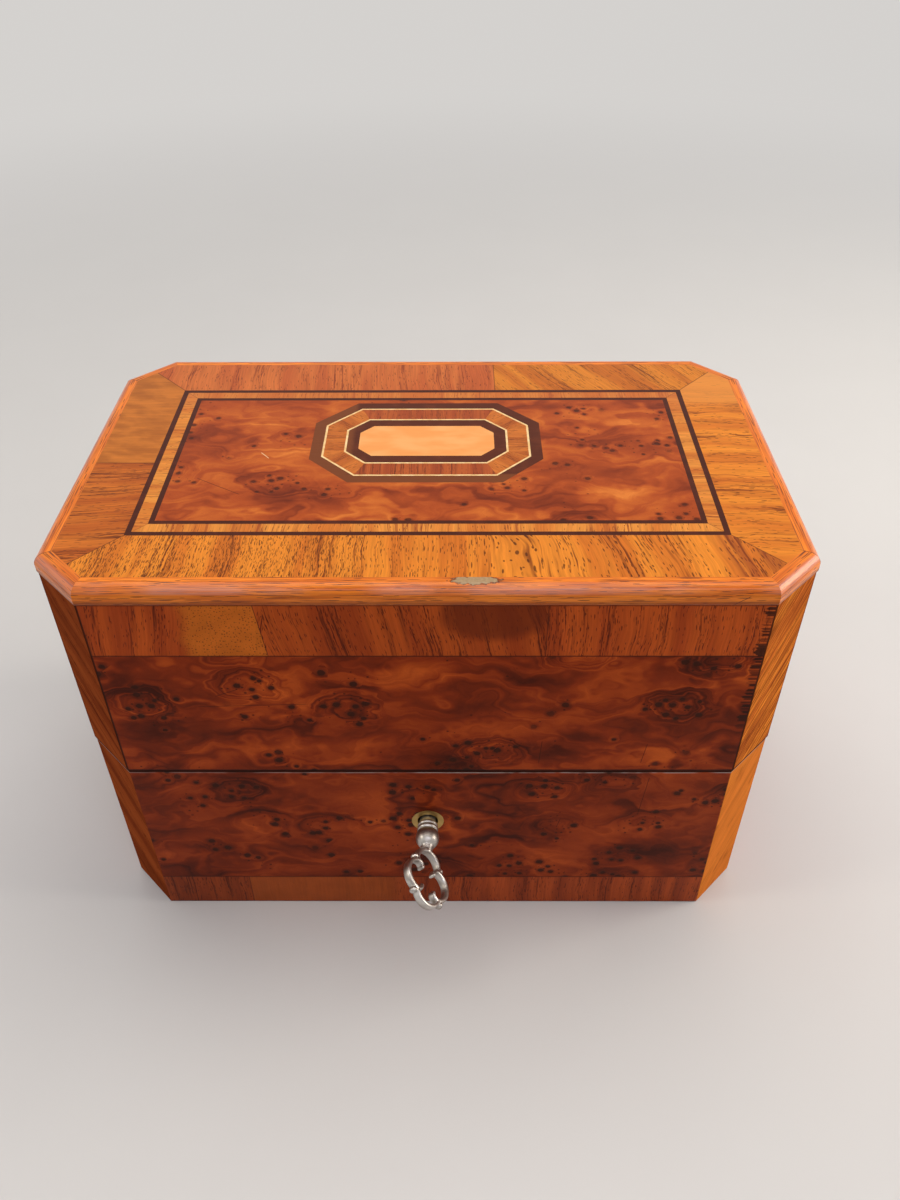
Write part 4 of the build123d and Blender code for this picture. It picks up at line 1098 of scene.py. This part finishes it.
def bow_place(stem):
    """The frame of the bow's plane: X across it, Y outwards along the key, from the bow's middle."""
    low, high = span("key")
    middle_y = low.y + BOW_MIDDLE
    axis = Vector(((low.x + high.x) / 2, middle_y, (low.z + high.z) / 2))
    flat = [vert.co - axis for vert in stem.verts if vert.co.y < middle_y]
    turn = math.atan2(2 * sum(p.x * p.z for p in flat), sum(p.x * p.x - p.z * p.z for p in flat)) / 2
    across, along = Vector((math.cos(turn), 0, math.sin(turn))), Vector((0, -1, 0))
    place = Matrix((across, along, across.cross(along))).transposed().to_4x4()
    mean_x, mean_z = sum(p.x for p in flat) / len(flat), sum(p.z for p in flat) / len(flat)
    place.translation = Vector((mean_x, 0, mean_z)) + axis
    return place


def bow_shells(place):
    """The bow's four lobes, a ball outside each cusp, and a new neck, as shells that run into each other."""
    bow = bmesh.new()
    side = bow_lobe(SIDE_REACH, CUSP_ACROSS, CUSP_ALONG, True)
    far = bow_lobe(FAR_REACH, CUSP_ALONG, CUSP_ACROSS, False)
    near = bow_lobe(NEAR_REACH, CUSP_ALONG, CUSP_ACROSS, False)
    forged_strand(bow, side, place)
    forged_strand(bow, [(-x, -y) for x, y in side], place)
    forged_strand(bow, [(-y, x) for x, y in far], place)
    forged_strand(bow, [(y, -x) for x, y in near], place)
    length = math.hypot(CUSP_ACROSS, CUSP_ALONG)
    out = (CUSP_BALL_OUT + length) / length
    for sign_x in (-1, 1):
        for sign_y in (-1, 1):
            spot = Matrix.Translation((sign_x * CUSP_ACROSS * out, sign_y * CUSP_ALONG * out, 0))
            shape = place @ spot @ Matrix.Diagonal((CUSP_BALL, CUSP_BALL, BOW_HALF_THICK, 1))
            bmesh.ops.create_uvsphere(bow, u_segments=16, v_segments=10, radius=1, matrix=shape)
    neck = Matrix.Translation((0, NECK_LENGTH / 2 - NECK_START, 0)) @ Matrix.Rotation(-math.pi / 2, 4, "X")
    sizes = dict(radius1=NECK_RADII[0], radius2=NECK_RADII[1], depth=NECK_LENGTH)
    bmesh.ops.create_cone(bow, cap_ends=True, segments=24, matrix=place @ neck, **sizes)
    bmesh.ops.recalc_face_normals(bow, faces=bow.faces)
    return bow


def forged_key():
    """The key: the CAD's stem and bit cut off at the neck, with a new neck and bow."""
    stem = bmesh.new()
    stem.from_mesh(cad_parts["key"].data)
    bmesh.ops.scale(stem, verts=stem.verts, vec=(1000, 1000, 1000))
    bmesh.ops.remove_doubles(stem, verts=stem.verts, dist=1e-3)
    place = bow_place(stem)
    cut = span("key")[0].y + BOW_MIDDLE + NECK_CUT
    geometry = stem.verts[:] + stem.edges[:] + stem.faces[:]
    bmesh.ops.bisect_plane(stem, geom=geometry, plane_co=(0, cut, 0), plane_no=(0, -1, 0), clear_outer=True)
    bmesh.ops.holes_fill(stem, edges=[edge for edge in stem.edges if edge.is_boundary])
    bmesh.ops.recalc_face_normals(stem, faces=stem.faces)
    key = melted(bow_shells(place), FORGED_DETAIL, 4)
    data = bpy.data.meshes.new("stem")
    stem.to_mesh(data)
    stem.free()
    key.from_mesh(data)
    bpy.data.meshes.remove(data)
    for edge in key.edges:
        edge.smooth = edge.calc_face_angle(0.0) < SHARP_ANGLE
    piece("key_forged", key, "key", "steel", steel, "key")


forged_key()


def pillow(share, steepness):
    """How full padding is at a share of the way across a panel: 0 at its edges and 1 over its middle."""
    return math.sin(min(1.0, steepness * min(share, 1 - share)) * math.pi / 2) ** 0.5


def padded_panel(mesh, outer, inner, z, edge, columns, rows):
    """A lining panel: cloth over thin padding, flat on the wall, its face pillowed from edge to crown."""
    start, end = Vector(outer[0]), Vector(outer[1])
    inward_start, inward_end = Vector(inner[0]) - start, Vector(inner[1]) - end
    front, back = [], []
    for row in range(rows + 1):
        up = row / rows
        for column in range(columns + 1):
            across = column / columns
            deep = edge + (1 - edge) * pillow(across, 3.5) * pillow(up, 4.0)
            foot = start.lerp(end, across)
            inward = inward_start.lerp(inward_end, across)
            height = z[0] + (z[1] - z[0]) * up
            face = foot + inward * deep
            front.append(mesh.verts.new((face.x, face.y, height)))
            back.append(mesh.verts.new((foot.x, foot.y, height)))
    two_sided(mesh, front, back, columns, rows)


def lining(name, node, body, slot, material, thickness, edge):
    """The eight padded panels of a lining, on the inner sides of the walls and posts."""
    low, high = span(node)
    outer, inner = octagon(high.x), octagon(high.x - thickness)
    mesh = bmesh.new()
    for n in range(8):
        m = (n + 1) % 8
        columns = 36 if math.dist(outer[n], outer[m]) > 30 else 10
        padded_panel(mesh, (outer[n], outer[m]), (inner[n], inner[m]), (low.z, high.z), edge, columns, 12)
    made = piece(name, mesh, body, slot, material, node)


def ringed(points, steps, spacing=3.0):
    """A closed pad from an outline: rings at (moved in, height) steps, closed flat at both ends."""
    mesh = bmesh.new()
    counts = [max(1, round(math.dist(a, b) / spacing)) for a, b in zip(points, points[1:] + points[:1])]
    rings = []
    for inset, height in steps:
        ring = []
        corners = moved_in(points, inset)
        for start, end, count in zip(corners, corners[1:] + corners[:1], counts):
            for n in range(count):
                at = Vector(start).lerp(Vector(end), n / count)
                ring.append(mesh.verts.new((at.x, at.y, height)))
        rings.append(ring)
    skin(mesh, rings)
    return mesh


def tray_pads():
    """Velvet pads in the tray's four compartments."""
    for n, solid in enumerate(islands("tray_pads")):
        low, high = limits(solid)
        rise = high.z - low.z
        sides = ((0.25, 0.0), (0.0, 0.35), (0.25, 0.75), (0.9, 0.93))
        steps = [(inset, low.z + share * rise) for inset, share in sides]
        steps += [(2.0, high.z), (4.5, high.z + 0.05)]
        made = piece(f"tray_pad_{n}", ringed(hull(solid), steps), "tray", "velvet", velvet, "tray_pads")


ROLL_PARTS, ROLL_POINTS = 44, 28
# How far in a roll's end is drawn together, and the end's radius, both as shares of the roll's radius
ROLL_TUCK, ROLL_END = 0.55, 0.62


def ring_rolls():
    """Velvet rolls between which rings stand, drawn in at the ends and flat where they lie."""
    for n, solid in enumerate(islands("tray_ring_rolls")):
        low, high = limits(solid)
        radius = (high.y - low.y) / 2
        middle_y, middle_z = (low.y + high.y) / 2, high.z - radius
        length = high.x - low.x
        mesh = bmesh.new()
        rings = []
        for part in range(ROLL_PARTS + 1):
            t = part / ROLL_PARTS
            tuck = min(t, 1 - t) * length / radius
            fullness = math.sin(min(1.0, tuck / ROLL_TUCK) * math.pi / 2)
            size = radius * (ROLL_END + (1 - ROLL_END) * fullness)
            ripple = 0.06 * math.sin(31 * t + n) + 0.05 * math.sin(53 * t + 2 * n)
            reach = min(radius, size + (ripple if tuck > 0.3 else 0))
            round_it = circle((middle_y, middle_z), reach, ROLL_POINTS)
            rings.append([mesh.verts.new((low.x + t * length, y, max(z, low.z))) for y, z in round_it])
        skin(mesh, rings)
        made = piece(f"ring_roll_{n}", mesh, "tray", "velvet", velvet, "tray_ring_rolls")


RIBBON_WIDTH, RIBBON_HALF_THICK, RIBBON_SPARE = 10.1, 0.14, 0.35
# How far its short end reaches below the tray's edge, and its straight run below the bend
RIBBON_TUCK, RIBBON_RUN = 1.6, 1.6


def ribbon_path(inner, outer, low_z, high_z):
    """A ribbon from its short end up, over in a loop and down the tray's end, as (outwards, up) points."""
    middle, radius = (inner + outer) / 2, (outer - inner) / 2
    bend = high_z - RIBBON_SPARE - radius
    path = [(inner, span("tray_frame")[1].z - RIBBON_TUCK), (inner, bend - RIBBON_RUN), (inner, bend)]
    path += arc((middle, bend), radius, math.pi, -math.pi, 8)[1:]
    down = bend - low_z - RIBBON_SPARE
    return path + [(outer + 0.12 * math.sin(k * 1.1), bend - down * k / 12) for k in range(1, 13)]


def ribbons():
    """Silk tabs that lift the tray: up inside each end, over in a loop, and down again."""
    for n, solid in enumerate(islands("tray_ribbons")):
        low, high = limits(solid)
        side = 1 if low.x > 0 else -1
        outer = (high.x if side > 0 else -low.x) - RIBBON_SPARE
        inner = (low.x if side > 0 else -high.x) + RIBBON_SPARE
        path = ribbon_path(inner, outer, low.z, high.z)
        mesh = bmesh.new()
        columns = 8
        layers = []
        for layer in (-RIBBON_HALF_THICK, RIBBON_HALF_THICK):
            grid = []
            for k, (x, z) in enumerate(path):
                right_x, right_z = right_of(path, k)
                for c in range(columns + 1):
                    share = c / columns
                    curl = 0.16 * math.cos(share * 2 * math.pi) + layer
                    at = (side * (x - right_x * curl), low.y + RIBBON_WIDTH * share, z - right_z * curl)
                    grid.append(mesh.verts.new(at))
            layers.append(grid)
        two_sided(mesh, layers[0], layers[1], columns, len(path) - 1)
        made = piece(f"ribbon_{n}", mesh, "tray", "silk", silk, "tray_ribbons")


def depth_in(points, x, y):
    """How far a plan point lies inside a convex outline."""
    least = 1e9
    for start, end in zip(points, points[1:] + points[:1]):
        length = math.dist(start, end)
        least = min(least, cross(start, end, (x, y)) / length)
    return least


BUTTON_GAP, ROW_GAP = 28.0, 20.0
SEAM_DEPTH, SEAM_SPREAD = 1.3, 1.7
DIP_DEPTH, DIP_SPREAD = 2.0, 3.4


def seam_distance(x, y):
    """How far a plan point is from the nearest seam of the diamond lattice."""
    across, back = x / BUTTON_GAP + y / ROW_GAP / 2, x / BUTTON_GAP - y / ROW_GAP / 2
    slope = math.hypot(1 / BUTTON_GAP, 0.5 / ROW_GAP)
    return min(abs(across - math.floor(across) - 0.5), abs(back - math.floor(back) - 0.5)) / slope


def dressed_depth(x, y, buttons):
    """How deep the seams and buttons draw the cloth down at a plan point."""
    near = min(math.dist((x, y), spot) for spot in buttons)
    seam = SEAM_DEPTH * math.exp(-((seam_distance(x, y) / SEAM_SPREAD) ** 2))
    return seam + DIP_DEPTH * math.exp(-((near / DIP_SPREAD) ** 2))


# The simulation works on cushions ten times their size, 1 unit for 100 mm
STUFFING_UNIT = 100
STUFFING_STEPS = 16
STUFFING_DETAIL = 0.019
# The play round a cushion
CUSHION_PLAY = 0.2


def stuffed(shell, outline, flat, thick):
    """The places to which a cloth simulation puffs the shell, its rim and back held still."""
    held = shell.vertex_groups.new(name="held")
    for n, vert in enumerate(shell.data.vertices):
        x, y, z = vert.co * STUFFING_UNIT
        if depth_in(outline, x, y) < 0.9 or abs(z - flat) < 0.35 * thick:
            held.add([n], 1.0, "REPLACE")
    stuffing = shell.modifiers.new("stuffing", "CLOTH")
    settings = stuffing.settings
    settings.quality = 5
    settings.mass = 0.2
    settings.use_pressure = True
    settings.uniform_pressure_force = 6.0
    settings.tension_stiffness = 12
    settings.compression_stiffness = 8
    settings.bending_stiffness = 0.3
    settings.vertex_group_mass = held.name
    settings.effector_weights.gravity = 0
    stuffing.point_cache.frame_start, stuffing.point_cache.frame_end = 1, STUFFING_STEPS
    for moment in range(1, STUFFING_STEPS + 1):
        bpy.context.scene.frame_set(moment)
    puffed = shell.evaluated_get(bpy.context.evaluated_depsgraph_get())
    spots = [vert.co * STUFFING_UNIT for vert in puffed.data.vertices]
    shell.modifiers.clear()
    shell.vertex_groups.clear()
    bpy.context.scene.frame_set(1)
    return spots


def even_shell(name, mesh):
    """An object of a bmesh in millimetres, at the simulation's size and with faces of one size."""
    data = bpy.data.meshes.new(name)
    mesh.to_mesh(data)
    mesh.free()
    data.transform(Matrix.Scale(1 / STUFFING_UNIT, 4))
    shell = bpy.data.objects.new(name, data)
    bpy.context.scene.collection.objects.link(shell)
    bpy.context.view_layer.objects.active = shell
    remesh = shell.modifiers.new("even", "REMESH")
    remesh.mode = "VOXEL"
    remesh.voxel_size = STUFFING_DETAIL
    bpy.ops.object.modifier_apply(modifier=remesh.name)
    return shell


def cushion(name, node, body, slot, material, hangs, buttons, swell):
    """A stuffed cushion: a shell puffed up by a cloth simulation, then drawn in at seams and buttons."""
    low, high = span(node)
    flat, turn = (high.z, -1) if hangs else (low.z, 1)
    thick = (high.z - low.z) * (1 - swell)
    rise = swell * (high.z - low.z)
    outline = octagon(high.x - CUSHION_PLAY)
    profile = [(0.5, 0.0), (0.0, 0.3), (0.1, 0.65), (0.9, 0.9), (2.4, 1.0)]
    steps = [(inset, flat + turn * share * thick) for inset, share in profile]
    shell = even_shell(name, ringed(outline, steps))
    data = shell.data
    start = [vert.co * STUFFING_UNIT for vert in data.vertices]
    spots = stuffed(shell, outline, flat, thick)
    for vert, at, spot in zip(data.vertices, start, spots):
        move = spot - at
        if move.length > rise:
            move *= rise / move.length
        spot = at + move
        if buttons:
            share = min(1.0, max(0.0, (abs(spot.z - flat) - 1.0) / thick))
            share *= min(1.0, depth_in(outline, at.x, at.y) / 5)
            spot.z -= turn * dressed_depth(at.x, at.y, buttons) * share
        spot.z = min(max(spot.z, low.z), high.z)
        vert.co = spot / 1000
    data.materials.append(material)
    for face in data.polygons:
        face.use_smooth = True
    finer = shell.modifiers.new("finer", "SUBSURF")
    finer.levels = finer.render_levels = 1
    bpy.ops.object.modifier_apply(modifier=finer.name)
    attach(shell, body)
    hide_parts(node)
    for n, (x, y) in enumerate(buttons):
        button(f"{name}_button_{n}", x, y, shell, turn, body, slot, material)


# How deep a button sits in the cloth, and how far round its middle the cloth's height is read
BUTTON_SUNK, BUTTON_SEAT = 0.2, 1.6


def button(name, x, y, shell, turn, body, slot, material):
    """A covered button in the dip that it draws down."""
    spots = [vert.co * 1000 for vert in shell.data.vertices]
    near = [spot for spot in spots if math.hypot(spot.x - x, spot.y - y) < BUTTON_SEAT]
    face = turn * max(turn * spot.z for spot in near)
    mesh = bmesh.new()
    profile = [(0.02, 0.75), (0.7, 0.68), (1.25, 0.45), (1.5, 0.1), (1.35, -0.3), (0.02, -0.4)]
    rings = []
    for reach, rise in profile:
        z = face + turn * (rise - BUTTON_SUNK)
        rings.append([mesh.verts.new((*at, z)) for at in circle((x, y), reach, 20)])
    skin(mesh, rings)
    made = piece(name, mesh, body, slot, material)


# The lid cushion's buttons stand where the seams cross
lid_buttons = [(x, y) for y in (-40, 0, 40) for x in range(-70, 71, 28)]
lid_buttons += [(x, y) for y in (-20, 20) for x in range(-56, 57, 28)]
lining("base_wall_lining", "base_lining", "base", "velvet", velvet, thickness=3.0, edge=0.5)
lining("base_rim_lining", "base_upper_lining", "base", "velvet", velvet, thickness=1.0, edge=0.75)
lining("lid_wall_lining", "lid_lining", "lid", "silk", silk, thickness=1.0, edge=0.75)
tray_pads()
ring_rolls()
ribbons()
cushion("floor_cushion", "base_floor_pad", "base", "velvet", velvet, hangs=False, buttons=[], swell=0.3)
cushion("lid_cushion_silk", "lid_cushion", "lid", "silk", silk, hangs=True, buttons=lid_buttons, swell=0.35)

# Floor, lights and camera


BACKGROUND = (0.66, 0.64, 0.62)
FLOOR_HALF = 8.0


def seen_directly(tree):
    """A socket that is 1 for camera, glossy and transmission rays, and 0 for light on the object."""
    path = tree.nodes.new("ShaderNodeLightPath")
    share = path.outputs["Is Camera Ray"]
    for name in ("Is Glossy Ray", "Is Transmission Ray"):
        most = tree.nodes.new("ShaderNodeMath")
        most.operation = "MAXIMUM"
        tree.links.new(share, most.inputs[0])
        tree.links.new(path.outputs[name], most.inputs[1])
        share = most.outputs[0]
    return share


def floor():
    """A plain pale floor that turns into the background's colour away from the object."""
    mesh = bpy.data.meshes.new("floor")
    corners = [(-FLOOR_HALF, -FLOOR_HALF, 0), (FLOOR_HALF, -FLOOR_HALF, 0)]
    corners += [(FLOOR_HALF, FLOOR_HALF, 0), (-FLOOR_HALF, FLOOR_HALF, 0)]
    mesh.from_pydata(corners, [], [(0, 1, 2, 3)])
    plane = bpy.data.objects.new("floor", mesh)
    bpy.context.scene.collection.objects.link(plane)
    g = Graph("floor", Specular_IOR_Level=0.1)
    grain = g.noise(g.x / 60, g.y / 60, 1.0, 3.0)
    mesh.materials.append(g.finish(g.mix(grain, (0.66, 0.645, 0.63), (0.69, 0.675, 0.66)), 0.8))
    reach = g.maths("SQRT", g.x * g.x + g.y * g.y)
    seen = Value(g, seen_directly(g.tree))
    plain = g.add("ShaderNodeEmission")
    plain.inputs["Color"].default_value = (*BACKGROUND, 1)
    both = g.add("ShaderNodeMixShader")
    g.feed(both.inputs[0], reach.smooth(280, 1000) * seen)
    g.tree.links.new(g.shader.outputs["BSDF"], both.inputs[1])
    g.tree.links.new(plain.outputs[0], both.inputs[2])
    g.tree.links.new(both.outputs[0], g.output.inputs["Surface"])


floor()


def softbox(name, place, target, size, power, colour):
    """A rectangular lamp turned towards a target."""
    light = bpy.data.lights.new(name, "AREA")
    light.shape = "RECTANGLE"
    light.size, light.size_y = size
    light.energy = power
    light.color = colour
    lamp = bpy.data.objects.new(name, light)
    lamp.location = place
    lamp.rotation_euler = (Vector(target) - Vector(place)).to_track_quat("-Z", "Y").to_euler()
    bpy.context.scene.collection.objects.link(lamp)


# Each lamp: its place, its target, its width and height, its power in watts, and its colour
softbox("overhead", (0.0, 0.25, 1.25), (0, 0, 0.1), (1.2, 0.9), 9.8, (1.0, 0.97, 0.93))
softbox("front_sky", (0.1, -0.75, 0.95), (0, 0, 0.1), (1.0, 0.3), 2.5, (0.85, 0.87, 1.0))
softbox("right", (0.95, 0.05, 0.4), (0.05, -0.03, 0.08), (0.5, 0.5), 7.0, (1.0, 0.93, 0.82))
softbox("left", (-0.9, -0.2, 0.6), (-0.05, 0, 0.1), (0.25, 0.25), 1.5, (1.0, 0.94, 0.8))

SKY_LIGHT = (0.2, 0.2, 0.21, 1)


def surroundings():
    """The background's colour where it is seen, and a dimmer grey for the light on the object."""
    world = bpy.data.worlds.new("world")
    bpy.context.scene.world = world
    world.use_nodes = True
    tree = world.node_tree
    tree.nodes.clear()
    sky = tree.nodes.new("ShaderNodeMix")
    sky.data_type = "RGBA"
    tree.links.new(seen_directly(tree), sky.inputs[0])
    sky.inputs[6].default_value = SKY_LIGHT
    sky.inputs[7].default_value = (*BACKGROUND, 1)
    background = tree.nodes.new("ShaderNodeBackground")
    tree.links.new(sky.outputs[2], background.inputs["Color"])
    output = tree.nodes.new("ShaderNodeOutputWorld")
    tree.links.new(background.outputs[0], output.inputs["Surface"])


surroundings()

FOCAL_PIXELS, PICTURE_HEIGHT = 997.616, 1200
CAMERA_AT = (0.00711, -0.24769, 0.28887)
CAMERA_RIGHT = Vector((0.99999, 0.00312, -0.00336))
CAMERA_UP = Vector((0.00055, 0.64536, 0.76388))


def photo_camera():
    """The camera that was fitted to the box in the photograph."""
    view = bpy.data.cameras.new("camera")
    view.sensor_fit = "VERTICAL"
    view.sensor_height = 36.0
    view.lens = FOCAL_PIXELS * view.sensor_height / PICTURE_HEIGHT
    view.clip_start = 0.01
    camera = bpy.data.objects.new("camera", view)
    turned = Matrix((CAMERA_RIGHT, CAMERA_UP, CAMERA_RIGHT.cross(CAMERA_UP))).transposed().to_4x4()
    camera.matrix_world = Matrix.Translation(CAMERA_AT) @ turned
    bpy.context.scene.collection.objects.link(camera)
    bpy.context.scene.camera = camera


photo_camera()
bpy.context.scene.view_settings.view_transform = "Standard"
